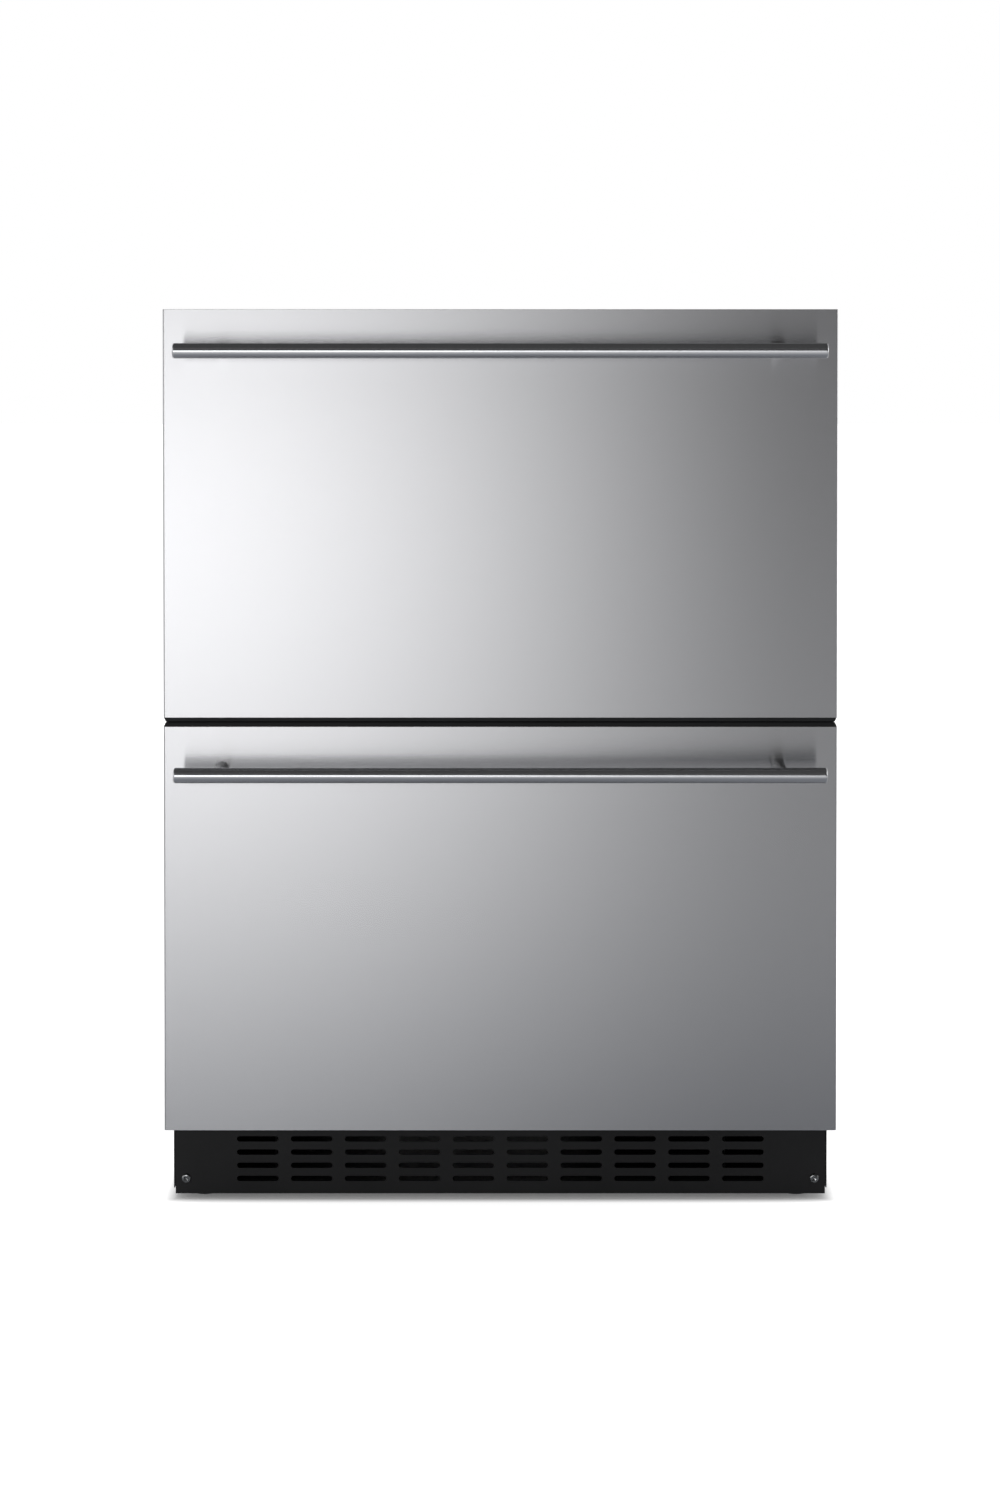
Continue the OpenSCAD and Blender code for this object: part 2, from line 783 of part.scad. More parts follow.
// A pan-head screw along +Y, with its head towards -Y and a cross recess
module pan_screw(shank_l) {
    head_d = 8.6;
    dome_r = 6.4;
    recess = 1.2;
    recess_l = 4.6;
    recess_w = 1;
    rotate([-90, 0, 0]) difference() {
        union() {
            intersection() {
                translate([0, 0, -head_h]) cylinder(h = head_h, d = head_d);
                translate([0, 0, dome_r - head_h]) sphere(dome_r);
            }
            cylinder(h = shank_l, d = screw_d);
        }
        for (turn = [0, 90])
            rotate([0, 0, turn + 45])
                translate([-recess_l / 2, -recess_w / 2, -head_h - sliver])
                    cube([recess_l, recess_w, recess]);
    }
}

// Screws of the toe kick, of the rear panel and of the machine cover
module cabinet_screws() {
    toe_shank = 1.4;
    color("lightgrey") {
        for (side = [-1, 1])
            translate([side * toe_screw_x, y_cab, toe_screw_z]) pan_screw(toe_shank);
        for (side = [-1, 1], z = concat(panel_screw_rows, cover_screw_rows))
            translate([side * rear_screw_x, y_back, z]) mirror([0, 1, 0]) pan_screw(screw_shank);
    }
}

// ---- Refrigeration -------------------------------------------------------------------------

evap_x = 190;
evap_z0 = 484;
evap_rows = 7;
evap_pitch = 22;
evap_y = y_liner - 30;
tube_r = 4;

// Serpentine tube through fins; the rows are level and the bends stand out at both ends. The tube
// starts at the right-hand end of the lowest row.
module finned_coil(half_w, rows, pitch, fin_d, fins) {
    fin_t = 0.6;
    fin_margin = 12;
    height = (rows - 1) * pitch;
    for (row = [0 : rows - 1])
        translate([-half_w, 0, row * pitch]) rotate([0, 90, 0]) cylinder(h = 2 * half_w, r = tube_r);
    for (row = [0 : rows - 2])
        translate([row % 2 == 0 ? -half_w : half_w, 0, (row + 0.5) * pitch])
            rotate([90, row % 2 == 0 ? 90 : -90, 0]) rotate_extrude(angle = 180)
                translate([pitch / 2, 0]) circle(tube_r);
    for (i = [0 : fins - 1]) {
        x = -half_w + fin_margin + i * (2 * half_w - 2 * fin_margin) / (fins - 1);
        box([x - fin_t / 2, -fin_d / 2, -pitch / 2], [x + fin_t / 2, fin_d / 2, height + pitch / 2]);
    }
}

module evaporator_coil() {
    color("#c8ccd0") translate([0, evap_y, evap_z0]) finned_coil(evap_x, evap_rows, evap_pitch, 40, 21);
}

cover_x = 226;
cover_z0 = z_mullion + mullion_h / 2 + 4;
cover_z1 = z_ceiling - 8;
y_cover = y_liner - 60;
evap_fan_z = 700;
evap_fan_r = 48;

// White cover over the evaporator, with a round fan grille above and return-air slots below
module evaporator_cover() {
    t = 2;
    corner = 16;
    rings = 5;
    ring_pitch = 8;
    ring_gap = 5;
    spoke_w = 5;
    return_l = 44;
    return_h = 5;
    return_x = 56;
    return_z = 12;
    color(white_plastic) difference() {
        along_y(y_cover, y_liner) rounded([-cover_x, cover_z0], [cover_x, cover_z1], corner);
        along_y(y_cover + t, y_liner + sliver)
            rounded([t - cover_x, cover_z0 + t], [cover_x - t, cover_z1 - t], corner - t);
        along_y(y_cover - sliver, y_cover + t + sliver) {
            translate([0, evap_fan_z]) difference() {
                for (k = [2 : rings + 1])
                    difference() {
                        circle(k * ring_pitch);
                        circle(k * ring_pitch - ring_gap);
                    }
                for (turn = [0 : 45 : 135])
                    rotate(turn) square([2 * (rings + 2) * ring_pitch, spoke_w], center = true);
            }
            for (i = [-3 : 3], j = [1 : 3])
                translate([i * return_x, cover_z0 + spoke_w + j * return_z]) slot(return_l, return_h);
        }
    }
}

// Motor with its four mounting arms, behind the evaporator fan
module evaporator_fan_motor() {
    body_r = 22;
    arm_w = 8;
    arm_t = 3;
    arm_l = 64;
    front = y_cover + 30;
    length = y_liner - front;
    shaft_d = 4;
    bearing_l = 14;
    color("#2b2d30") translate([0, front, evap_fan_z]) rotate([-90, 0, 0]) difference() {
        union() {
            cylinder(h = length - arm_t / 2, r = body_r);
            for (turn = [45 : 90 : 315]) rotate(turn)
                box([0, -arm_w / 2, length - arm_t], [arm_l, arm_w / 2, length]);
        }
        translate([0, 0, -sliver]) cylinder(h = bearing_l, d = shaft_d + 2 * fit_gap);
    }
}

// One cambered blade: a strip of a tube's wall, pitched about its own length. Its outer corners lie
// on the tip radius.
module blade(tip_r, root_r) {
    camber_r = tip_r * 0.9;
    blade_t = 1.4;
    pitch_angle = 32;
    chord = tip_r * 0.62;
    reach = sqrt(tip_r * tip_r - chord * chord / 4);
    rotate([pitch_angle, 0, 0]) intersection() {
        translate([root_r, 0, -camber_r]) rotate([0, 90, 0]) difference() {
            cylinder(h = reach - root_r, r = camber_r);
            translate([0, 0, -sliver])
                cylinder(h = reach - root_r + 2 * sliver, r = camber_r - blade_t);
        }
        box([root_r - sliver, -chord / 2, -camber_r / 2], [reach + sliver, chord / 2, camber_r / 2]);
    }
}

// Axial fan, its axis along Z: a cupped hub, cambered blades and a stub shaft behind
module axial_fan(tip_r, hub_r, hub_h, blades, shaft_l) {
    shaft_d = 4;
    shell = 1.6;
    nose_h = hub_r * 0.25;
    boss_r = hub_r * 0.35;
    difference() {
        union() {
            cylinder(h = hub_h, r = hub_r);
            translate([0, 0, -nose_h]) cylinder(h = nose_h + sliver, r1 = hub_r * 0.7, r2 = hub_r);
            for (i = [0 : blades - 1])
                rotate(i * 360 / blades) translate([0, 0, hub_h / 2]) blade(tip_r, hub_r - shell / 2);
        }
        translate([0, 0, shell]) cylinder(h = hub_h, r = hub_r - shell);
    }
    cylinder(h = hub_h, r = boss_r);
    cylinder(h = hub_h + shaft_l, d = shaft_d);
}

module evaporator_fan() {
    color("white") translate([0, y_cover + 12, evap_fan_z]) rotate([-90, 0, 0])
        axial_fan(evap_fan_r, 16, 16, 5, 12);
}

cond_x = -206;
cond_z = 122;
cond_y = y_step + 38;
cond_fan_r = 62;
cond_coil_x = 64;
cond_rows = 8;
cond_pitch = 20;
cond_half = (cond_rows - 1) * cond_pitch / 2;
shroud_y = cond_y + 34;

module condenser_coil() {
    color("#2a2c2e") translate([cond_x, cond_y, cond_z - cond_half])
        finned_coil(cond_coil_x, cond_rows, cond_pitch, 42, 13);
}

// Shroud plate with a bell mouth, and the fan motor on three arms behind it
module condenser_fan_shroud() {
    half = 76;
    tall = 84;
    corner = 6;
    t = 2;
    bell = 14;
    motor_r = 21;
    motor_l = 34;
    motor_z = 24;
    arm_w = 10;
    arm_z = 26;
    gap = 2.5;
    shaft_d = 4;
    bearing_l = 16;
    color("#232528") translate([cond_x, shroud_y, cond_z]) rotate([-90, 0, 0]) difference() {
        union() {
            linear_extrude(t) rounded([-half, -tall], [half, tall], corner);
            cylinder(h = bell, r = cond_fan_r + gap + t);
            translate([0, 0, motor_z]) cylinder(h = motor_l, r = motor_r);
            for (turn = [90 : 120 : 330]) rotate(turn) {
                box([0, -arm_w / 2, arm_z], [cond_fan_r + gap + t, arm_w / 2, arm_z + t]);
                box([cond_fan_r + gap, -arm_w / 2, 0], [cond_fan_r + gap + t, arm_w / 2, arm_z + t]);
            }
        }
        translate([0, 0, -sliver]) cylinder(h = bell + 2 * sliver, r = cond_fan_r + gap);
        translate([0, 0, motor_z - sliver]) cylinder(h = bearing_l, d = shaft_d + 2 * fit_gap);
    }
}

module condenser_fan() {
    color("#3c3f42") translate([cond_x, shroud_y + 2, cond_z]) rotate([-90, 0, 0])
        axial_fan(cond_fan_r, 20, 18, 5, 16);
}

comp_x = 150;
comp_y = y_step + 96;
comp_z = 30;
comp_feet_x = 84;
comp_feet_y = 52;

shell_r = 66;     // drawn shell of the compressor
shell_z = 7;
shell_h = 92;
dome_r = 82;
dome_sink = sqrt(dome_r * dome_r - shell_r * shell_r);
foot_plate_t = 3;
foot_hole_d = 14;
suction_h = 70;   // stubs of the compressor, above its foot plate
discharge_h = 80;
discharge_x = 20;

// Hermetic compressor: two drawn steel halves with a welded seam, on a pressed foot plate
module compressor() {
    seam_h = 4;
    seam_z = 58;
    seam_out = 4;
    neck_h = 5;
    margin = 12;
    stub_r = 4;
    stub_l = 16;
    stub_in = 6;
    relay = [24, 52, 44];
    relay_in = 8;
    relay_z = 34;
    color("#17181a") translate([comp_x, comp_y, comp_z]) difference() {
        union() {
            translate([0, 0, shell_z]) cylinder(h = shell_h, r = shell_r);
            translate([0, 0, shell_z + seam_z]) cylinder(h = seam_h, r = shell_r + seam_out);
            translate([0, 0, shell_z]) intersection() {
                translate([0, 0, shell_h - dome_sink]) sphere(dome_r, $fn = 64);
                translate([0, 0, shell_h - sliver]) cylinder(h = dome_r, r = shell_r);
            }
            linear_extrude(foot_plate_t) rounded([-comp_feet_x - margin, -comp_feet_y - margin],
                [comp_feet_x + margin, comp_feet_y + margin], margin);
            translate([0, 0, foot_plate_t - sliver]) cylinder(h = neck_h, r = shell_r - margin);
            translate([relay_in - shell_r - relay[0], -relay[1] / 2, relay_z]) cube(relay);
            translate([shell_r - stub_in, 0, suction_h]) rotate([0, 90, 0])
                cylinder(h = stub_l, r = stub_r);
            translate([discharge_x, stub_in - shell_r, discharge_h]) rotate([90, 0, 0])
                cylinder(h = stub_l, r = stub_r);
        }
        for (x = [-comp_feet_x, comp_feet_x], y = [-comp_feet_y, comp_feet_y])
            translate([x, y, -sliver]) cylinder(h = foot_plate_t + 2 * sliver, d = foot_hole_d);
    }
}

// Rubber grommets between the compressor's foot plate and the base pan, with their sleeves
module compressor_grommets() {
    lower_d = 24;
    upper_d = 20;
    upper_h = 5;
    base = z_pan + pan_t;
    color("#111213") for (x = [-comp_feet_x, comp_feet_x], y = [-comp_feet_y, comp_feet_y])
        translate([comp_x + x, comp_y + y, base]) {
            cylinder(h = comp_z - base, d = lower_d);
            translate([0, 0, comp_z - base - sliver])
                cylinder(h = foot_plate_t + 2 * sliver, d = foot_hole_d - 2 * fit_gap);
            translate([0, 0, comp_z - base + foot_plate_t]) cylinder(h = upper_h, d = upper_d);
        }
}

// Tray on top of the compressor, where its heat dries the defrost water
module drip_tray() {
    half_x = 78;
    half_y = 62;
    depth = 26;
    corner = 14;
    t = 2;
    z = comp_z + shell_z + shell_h + dome_r - dome_sink;
    color("#3b3e41") translate([comp_x, comp_y, z]) difference() {
        linear_extrude(depth) rounded([-half_x, -half_y], [half_x, half_y], corner);
        translate([0, 0, t]) linear_extrude(depth) rounded([t - half_x, t - half_y],
            [half_x - t, half_y - t], corner - t);
    }
}

line_r = 3;
capillary_r = 1.8;
riser_x = evap_x + 22;
riser_y = y_back - 12;
evap_top = evap_z0 + (evap_rows - 1) * evap_pitch;
cond_top = cond_z + cond_half;
cond_low = cond_z - cond_half;

// Channels in the rear foam for the two lines that climb to the evaporator, and the holes by
// which they reach it
module line_chases(r) {
    for (line = [[riser_x, evap_z0], [-riser_x, evap_top]]) {
        box([line[0] - r, riser_y - r, machine_h - foam_t], [line[0] + r, y_back, line[1] + r]);
        box([line[0] - r, y_liner - sliver, line[1] - r], [line[0] + r, riser_y, line[1] + r]);
    }
}

// Copper lines: discharge to the condenser, the liquid line with its filter drier, the capillary
// and the suction line
module refrigerant_tubing() {
    drier_r = 9;
    drier_l = 84;
    drier_x = -30;
    drier_y = y_step + 24;
    drier_z = cond_low + 30;
    loop_z = 232;
    front_y = y_step + 12;
    over = cond_top + 20;
    out_x = cond_x + 92;
    stub_end = shell_r + 10;
    out = comp_x + discharge_x;
    comp_top = comp_z + discharge_h;
    comp_side = comp_x + 104;
    suction_z = comp_z + suction_h;
    coil_end = cond_x + cond_coil_x;
    color("#b5714a") {
        pipe([[out, comp_y - stub_end, comp_top], [out, front_y, comp_top], [out, front_y, over],
            [out_x, front_y, over], [out_x, cond_y, over], [out_x, cond_y, cond_top],
            [coil_end, cond_y, cond_top]], line_r);
        pipe([[coil_end, cond_y, cond_low], [out_x, cond_y, cond_low],
            [out_x, drier_y, cond_low], [drier_x, drier_y, cond_low],
            [drier_x, drier_y, drier_z + sliver]], line_r);
        translate([drier_x, drier_y, drier_z]) cylinder(h = drier_l, r = drier_r);
        pipe([[drier_x, drier_y, drier_z + drier_l - sliver], [drier_x, drier_y, loop_z],
            [-riser_x, drier_y, loop_z], [-riser_x, riser_y, loop_z], [-riser_x, riser_y, evap_top],
            [-riser_x, evap_y, evap_top], [-evap_x, evap_y, evap_top]], capillary_r);
        pipe([[comp_x + stub_end, comp_y, suction_z], [comp_side, comp_y, suction_z],
            [comp_side, riser_y, suction_z], [comp_side, riser_y, loop_z],
            [riser_x, riser_y, loop_z], [riser_x, riser_y, evap_z0],
            [riser_x, evap_y, evap_z0], [evap_x, evap_y, evap_z0]], line_r);
    }
}

// Strain-relief bush in the machine cover, with a round passage for the supply cord
module cord_gland() {
    bore_d = 8.4;
    flange_d = 22;
    body_l = 13;
    color("#151617") translate([gland_x, y_back, gland_z]) rotate([90, 0, 0]) difference() {
        union() {
            translate([0, 0, -head_h]) cylinder(h = head_h, d = flange_d);
            cylinder(h = body_l, d = gland_hole_d - 2 * fit_gap);
        }
        translate([0, 0, -head_h - sliver]) cylinder(h = body_l + head_h + 2 * sliver, d = bore_d);
    }
}

// ---- Controls and light, under the ceiling behind the upper drawer front --------------------

panel_y = y_plug + 4.5;
panel_z = z_ceiling - 13;
panel_half = 112;
button_d = 11;
button_x = [-78, 56, 84];
window_x0 = -52;
window_x1 = 30;
window_h = 13;
window_t = 2;

// Control housing: a shallow box with wells for the buttons and a seat for the window
module control_housing() {
    depth = 54;
    edge_r = 6;
    well = 8;
    low = z_ceiling - 26;
    color("#1b1c1e") difference() {
        along_x(-panel_half, panel_half) {
            translate([panel_y, low + edge_r]) square([depth, z_ceiling - low - edge_r]);
            translate([panel_y + edge_r, low]) square([depth - 2 * edge_r, z_ceiling - low]);
            for (y = [panel_y + edge_r, panel_y + depth - edge_r])
                translate([y, low + edge_r]) circle(edge_r);
        }
        for (x = button_x)
            translate([x, panel_y - sliver, panel_z]) rotate([-90, 0, 0])
                cylinder(h = well + sliver, d = button_d + 2 * fit_gap);
        window(sliver);
    }
}

// The space of the display window, from some way in front of the housing's face
module window(front) {
    box([window_x0, panel_y - front, panel_z - window_h / 2],
        [window_x1, panel_y + window_t, panel_z + window_h / 2]);
}

module display_window() {
    color("#0b1418") window(0);
}

// A round push-button with a dished face
module button(x) {
    length = 6.4;
    proud = button_travel + 0.6;
    dish_r = 22;
    dish = 0.35;
    color("#33363a") translate([x, panel_y, panel_z]) rotate([-90, 0, 0]) difference() {
        translate([0, 0, -proud]) cylinder(h = length, d = button_d);
        translate([0, 0, -proud + dish - dish_r]) sphere(dish_r);
    }
}

module power_button() {
    button(button_x[0]);
}

module colder_button() {
    button(button_x[1]);
}

module warmer_button() {
    button(button_x[2]);
}

// Light strip under the ceiling: a long diffuser with rounded ends
module light_strip() {
    length = 300;
    width = 16;
    height = 6;
    y = panel_y + 74;
    color("white") translate([0, y, z_ceiling - height]) linear_extrude(height) slot(length, width);
}

// ---- Levelling feet ------------------------------------------------------------------------

// A threaded stem with a hexagon collar and a moulded pad
module foot(x, y) {
    pad_d = 34;
    pad_h = 5;
    edge = 2;
    stem_l = 38;
    collar_d = 18;
    collar_h = 5;
    color("#202224") translate([x, y, 0]) {
        cylinder(h = edge, d1 = pad_d - 2 * edge, d2 = pad_d);
        translate([0, 0, edge]) cylinder(h = pad_h - edge, d = pad_d);
        translate([0, 0, pad_h - sliver]) cylinder(h = collar_h, d = collar_d, $fn = 6);
        translate([0, 0, pad_h]) cylinder(h = stem_l, d = stem_d);
    }
}

module front_left_foot() {
    foot(-foot_x, foot_rows[0]);
}

module front_right_foot() {
    foot(foot_x, foot_rows[0]);
}

module rear_left_foot() {
    foot(-foot_x, foot_rows[1]);
}

module rear_right_foot() {
    foot(foot_x, foot_rows[1]);
}

// ---- The two drawers -----------------------------------------------------------------------

// The openings that the inner panels close, low and high
upper_open = [z_mullion + mullion_h / 2, z_ceiling];
lower_open = [z_floor, z_mullion - mullion_h / 2];

module upper_front_skin() { front_skin(z_upper0, unit_h); }
module upper_front_foam() { front_foam(z_upper0, unit_h, upper_open[0], upper_open[1]); }
module upper_inner_panel() { inner_panel(z_upper0, unit_h, upper_open[0], upper_open[1]); }
module upper_end_caps() { end_caps(z_upper0, unit_h); }
module upper_gasket() { gasket(z_upper0, unit_h, upper_open[0], upper_open[1]); }
module upper_handle_bar() { handle_bar(unit_h); }
module upper_handle_posts() { handle_posts(unit_h); }
module upper_bin() { bin(upper_bin_z, upper_bin_d); }
module upper_bin_rails() { bin_rails(upper_bin_z, upper_slide_z); }
module upper_divider() { divider(upper_bin_z, upper_bin_d); }
module upper_slide_outer() { slide_outer(upper_slide_z); }
module upper_slide_middle() { slide_middle(upper_slide_z); }
module upper_slide_inner() { slide_inner(upper_slide_z); }

module lower_front_skin() { front_skin(z_lower0, z_lower1); }
module lower_front_foam() { front_foam(z_lower0, z_lower1, lower_open[0], lower_open[1]); }
module lower_inner_panel() { inner_panel(z_lower0, z_lower1, lower_open[0], lower_open[1]); }
module lower_end_caps() { end_caps(z_lower0, z_lower1); }
module lower_gasket() { gasket(z_lower0, z_lower1, lower_open[0], lower_open[1]); }
module lower_handle_bar() { handle_bar(z_lower1); }
module lower_handle_posts() { handle_posts(z_lower1); }
module lower_bin() { bin(lower_bin_z, lower_bin_d); }
module lower_bin_rails() { bin_rails(lower_bin_z, lower_slide_z); }
module lower_divider() { divider(lower_bin_z, lower_bin_d); }
module lower_slide_outer() { slide_outer(lower_slide_z); }
module lower_slide_middle() { slide_middle(lower_slide_z); }
module lower_slide_inner() { slide_inner(lower_slide_z); }

left_side_panel();
right_side_panel();
top_panel();
rear_panel();
machine_cover();
base_pan();
floor_plate();
cabinet_foam();
inner_liner();
cross_rails();
toe_kick_grille();
cabinet_screws();
evaporator_coil();
evaporator_cover();
evaporator_fan_motor();
evaporator_fan();
control_housing();
display_window();
power_button();
colder_button();
warmer_button();
light_strip();
compressor();
compressor_grommets();
condenser_coil();
condenser_fan_shroud();
condenser_fan();
drip_tray();
refrigerant_tubing();
cord_gland();
front_left_foot();
front_right_foot();
rear_left_foot();
rear_right_foot();
upper_slide_outer();
lower_slide_outer();
upper_slide_middle();
lower_slide_middle();
upper_front_skin();
upper_front_foam();
upper_inner_panel();
upper_end_caps();
upper_gasket();
upper_handle_bar();
upper_handle_posts();
upper_bin();
upper_bin_rails();
upper_slide_inner();
upper_divider();
lower_front_skin();
lower_front_foam();
lower_inner_panel();
lower_end_caps();
lower_gasket();
lower_handle_bar();
lower_handle_posts();
lower_bin();
lower_bin_rails();
lower_slide_inner();
lower_divider();
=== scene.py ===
import math

import bmesh
import bpy
import numpy as np
from bpy.props import FloatProperty, FloatVectorProperty, PointerProperty
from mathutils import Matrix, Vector


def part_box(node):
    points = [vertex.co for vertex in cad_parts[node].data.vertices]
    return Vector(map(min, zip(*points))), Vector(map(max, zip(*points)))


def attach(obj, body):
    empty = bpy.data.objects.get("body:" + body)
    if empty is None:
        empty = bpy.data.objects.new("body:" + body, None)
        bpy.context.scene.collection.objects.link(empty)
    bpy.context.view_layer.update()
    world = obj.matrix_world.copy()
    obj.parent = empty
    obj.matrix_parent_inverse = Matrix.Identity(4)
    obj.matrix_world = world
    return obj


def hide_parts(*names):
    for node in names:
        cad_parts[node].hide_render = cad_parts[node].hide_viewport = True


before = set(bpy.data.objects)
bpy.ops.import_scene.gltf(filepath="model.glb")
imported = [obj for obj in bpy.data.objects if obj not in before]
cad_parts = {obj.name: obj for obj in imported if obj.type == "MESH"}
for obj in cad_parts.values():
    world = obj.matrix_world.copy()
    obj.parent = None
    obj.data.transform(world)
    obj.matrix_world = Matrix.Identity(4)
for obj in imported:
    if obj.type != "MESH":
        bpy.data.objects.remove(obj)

bl_info = {
    "name": "Undercounter drawer refrigerator",
    "version": (1, 0, 0),
    "blender": (4, 5, 0),
    "location": "3D View > Sidebar > Refrigerator",
    "description": "Brushed fronts, handles, gaskets, casing and finishes of a drawer refrigerator",
    "category": "Object",
}

MM = 0.001
DRAWERS = ("upper", "lower")
SHEET = 1 * MM                       # thickness of the skins' and the casing's sheet metal
CASING_BEND = 1.6 * MM               # outside radius of the casing's bends
SIDE_FLANGE = 32.5 * MM              # front flange of a side panel
TOE_SCREW = (287 * MM, 19 * MM)      # how far out and how high the toe kick's screws are
REAR_SCREW_X = 289.5 * MM
REAR_SCREW_ROWS = (34 * MM, 130 * MM, 237 * MM, 297 * MM, 530 * MM, 786 * MM)


def hex_colour(code):
    """sRGB hex to linear RGBA: c / 12.92 below 0.04045, else ((c + 0.055) / 1.055) to the power 2.4."""
    srgb = np.array([int(code[i:i + 2], 16) for i in (0, 2, 4)]) / 255
    linear = np.where(srgb <= 0.04045, srgb / 12.92, ((srgb + 0.055) / 1.055) ** 2.4)
    return (*linear.tolist(), 1.0)


def corners(node):
    """Lowest and highest corner of a node at rest, as arrays."""
    low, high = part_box(node)
    return np.array(low), np.array(high)


# ---- Shapes --------------------------------------------------------------------------------------

def rounded_path(points, radii, steps=5, closed=False):
    """A flat outline with arcs at its corners, and the unit normals to the right of its travel.

    The arc at a corner with unit directions u and v to its neighbours has its centre on their
    bisector, at r / sin(half the angle between them). Ends of an open path have radius 0.
    """
    points = np.asarray(points, float)
    radii = np.broadcast_to(np.asarray(radii, float), len(points)).copy()
    back = np.roll(points, 1, 0) - points
    ahead = np.roll(points, -1, 0) - points
    if not closed:
        radii[[0, -1]] = 0
        back[0], ahead[-1] = -ahead[0], -back[-1]
    back /= np.linalg.norm(back, axis=1, keepdims=True)
    ahead /= np.linalg.norm(ahead, axis=1, keepdims=True)
    half = np.arccos(np.clip((back * ahead).sum(1), -1, 1)) / 2
    side = np.sign(ahead[:, 0] * back[:, 1] - ahead[:, 1] * back[:, 0])
    turn = math.pi - 2 * half
    share = np.linspace(0, 1, steps + 1)
    start = np.arctan2(-back[:, 0], back[:, 1])
    angle = start[:, None] + side[:, None] * turn[:, None] * share
    normals = np.stack([-np.cos(angle), -np.sin(angle)], -1)
    bisector = back + ahead
    bisector /= np.maximum(np.linalg.norm(bisector, axis=1, keepdims=True), 1e-9)
    centre = points + bisector * (radii / np.maximum(np.sin(half), 1e-9))[:, None]
    arc = centre[:, None] + normals * (side * radii)[:, None, None]
    arc, normals = arc.reshape(-1, 2), normals.reshape(-1, 2)
    if closed:
        arc, normals = np.vstack([arc, arc[:1]]), np.vstack([normals, normals[:1]])
    return arc, normals


def spine(outline):
    """The outline's points moved onto the middle line of its longer side, which closes a flat end."""
    low, high = outline.min(0), outline.max(0)
    half = (high - low).min() / 2
    return np.clip(outline, low + half, high - half)


def carried(path, normals, profile, axes=(0, 1, 2)):
    """A profile carried along a flat path.

    Point (i, j) is path[i] + normals[i] * profile[j, 0] in the plane, at height profile[j, 1].
    axes says which frame axes the plane's two directions and the height are.
    """
    points = np.empty((len(path), len(profile), 3))
    points[..., axes[:2]] = path[:, None] + normals[:, None] * profile[None, :, :1]
    points[..., axes[2]] = profile[:, 1]
    return points


def closed_path_ends(grid, axes=(0, 1, 2)):
    """Closes both ends of a profile that went round a closed path, by the outline's own spine."""
    ends = []
    for column in (grid[:, 0], grid[:, -1]):
        flat = column.copy()
        flat[:, axes[:2]] = spine(column[:, axes[:2]])
        ends.append(flat[:, None])
    return np.concatenate([ends[0], grid, ends[1]], 1)


def sheet(path, normals, low, high, ease, axes=(0, 1, 2), cut=0):
    """Sheet metal folded along a path: its section is a rectangle of the sheet's thickness with its
    four edges eased. cut raises the lower edge at each path point, as where a flange is shorter."""
    section, _ = rounded_path(
        [(0, low), (0, high), (-SHEET, high), (-SHEET, low)], ease, 3, closed=True)
    lower = section[:, 1] < (low + high) / 2
    cut = np.broadcast_to(cut, len(path))[:, None]
    grid = carried(path, normals, section, axes)
    ends = carried(path[[0, -1]], normals[[0, -1]], spine(section), axes)
    grid[:, lower, axes[2]] += cut
    ends[:, lower, axes[2]] += cut[[0, -1]]
    return np.concatenate([ends[:1], grid, ends[1:]], 0)


def turned(profile, centre, axis, sides=64, shape=None):
    """A profile of (radius, distance along) turned about an axis; shape scales the radius by angle."""
    angle = np.linspace(0, 2 * math.pi, sides + 1)
    profile = np.asarray(profile, float)
    radius = profile[:, :1] * np.ones(len(angle))
    if shape is not None:
        radius = radius * shape(angle)
    first, second = [a for a in range(3) if a != axis]
    points = np.empty((*radius.shape, 3))
    points[..., axis] = profile[:, 1:] + centre[axis]
    points[..., first] = centre[first] + radius * np.cos(angle)
    points[..., second] = centre[second] + radius * np.sin(angle)
    return points


def grid_faces(rows, columns, first):
    """Quads between neighbouring points of a grid stored row by row."""
    corner = np.arange(rows - 1)[:, None] * columns + np.arange(columns - 1) + first
    return np.stack([corner, corner + 1, corner + columns + 1, corner + columns], -1).reshape(-1, 4)


def piece(name, grids, coat, body, slot, *nodes, sharp=40, flat_first=True):
    """Makes one mesh of the grids, welds it, turns its faces outwards and puts it on its body."""
    weld = 0.002 * MM
    starts = np.cumsum([0] + [g.shape[0] * g.shape[1] for g in grids[:-1]])
    faces = [grid_faces(*g.shape[:2], s) for g, s in zip(grids, starts)]
    mesh = bpy.data.meshes.new(name)
    mesh.from_pydata(np.vstack([g.reshape(-1, 3) for g in grids]), [], np.vstack(faces))
    shell = bmesh.new()
    shell.from_mesh(mesh)
    bmesh.ops.remove_doubles(shell, verts=shell.verts, dist=weld)
    bmesh.ops.dissolve_degenerate(shell, edges=shell.edges, dist=weld / 2)
    bmesh.ops.recalc_face_normals(shell, faces=shell.faces)
    shell.to_mesh(mesh)
    shell.free()
    mesh.shade_smooth()
    mesh.set_sharp_from_angle(angle=math.radians(sharp))
    mesh.materials.append(coat)
    made = bpy.data.objects.new(name, mesh)
    bpy.context.scene.collection.objects.link(made)
    if flat_first:
        weighted = made.modifiers.new("Flat faces first", "WEIGHTED_NORMAL")
        weighted.weight, weighted.keep_sharp = 100, True
    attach(made, body)
    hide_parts(*nodes)


# ---- Finishes ------------------------------------------------------------------------------------

def add(tree, kind, inputs=(), **settings):
    """Adds a shader node with its settings; inputs hold a value or another node's output."""
    made = tree.nodes.new(kind)
    for name, value in settings.items():
        setattr(made, name, value)
    for socket, value in dict(inputs).items():
        if isinstance(value, bpy.types.NodeSocket):
            tree.links.new(value, made.inputs[socket])
        else:
            made.inputs[socket].default_value = value
    return made


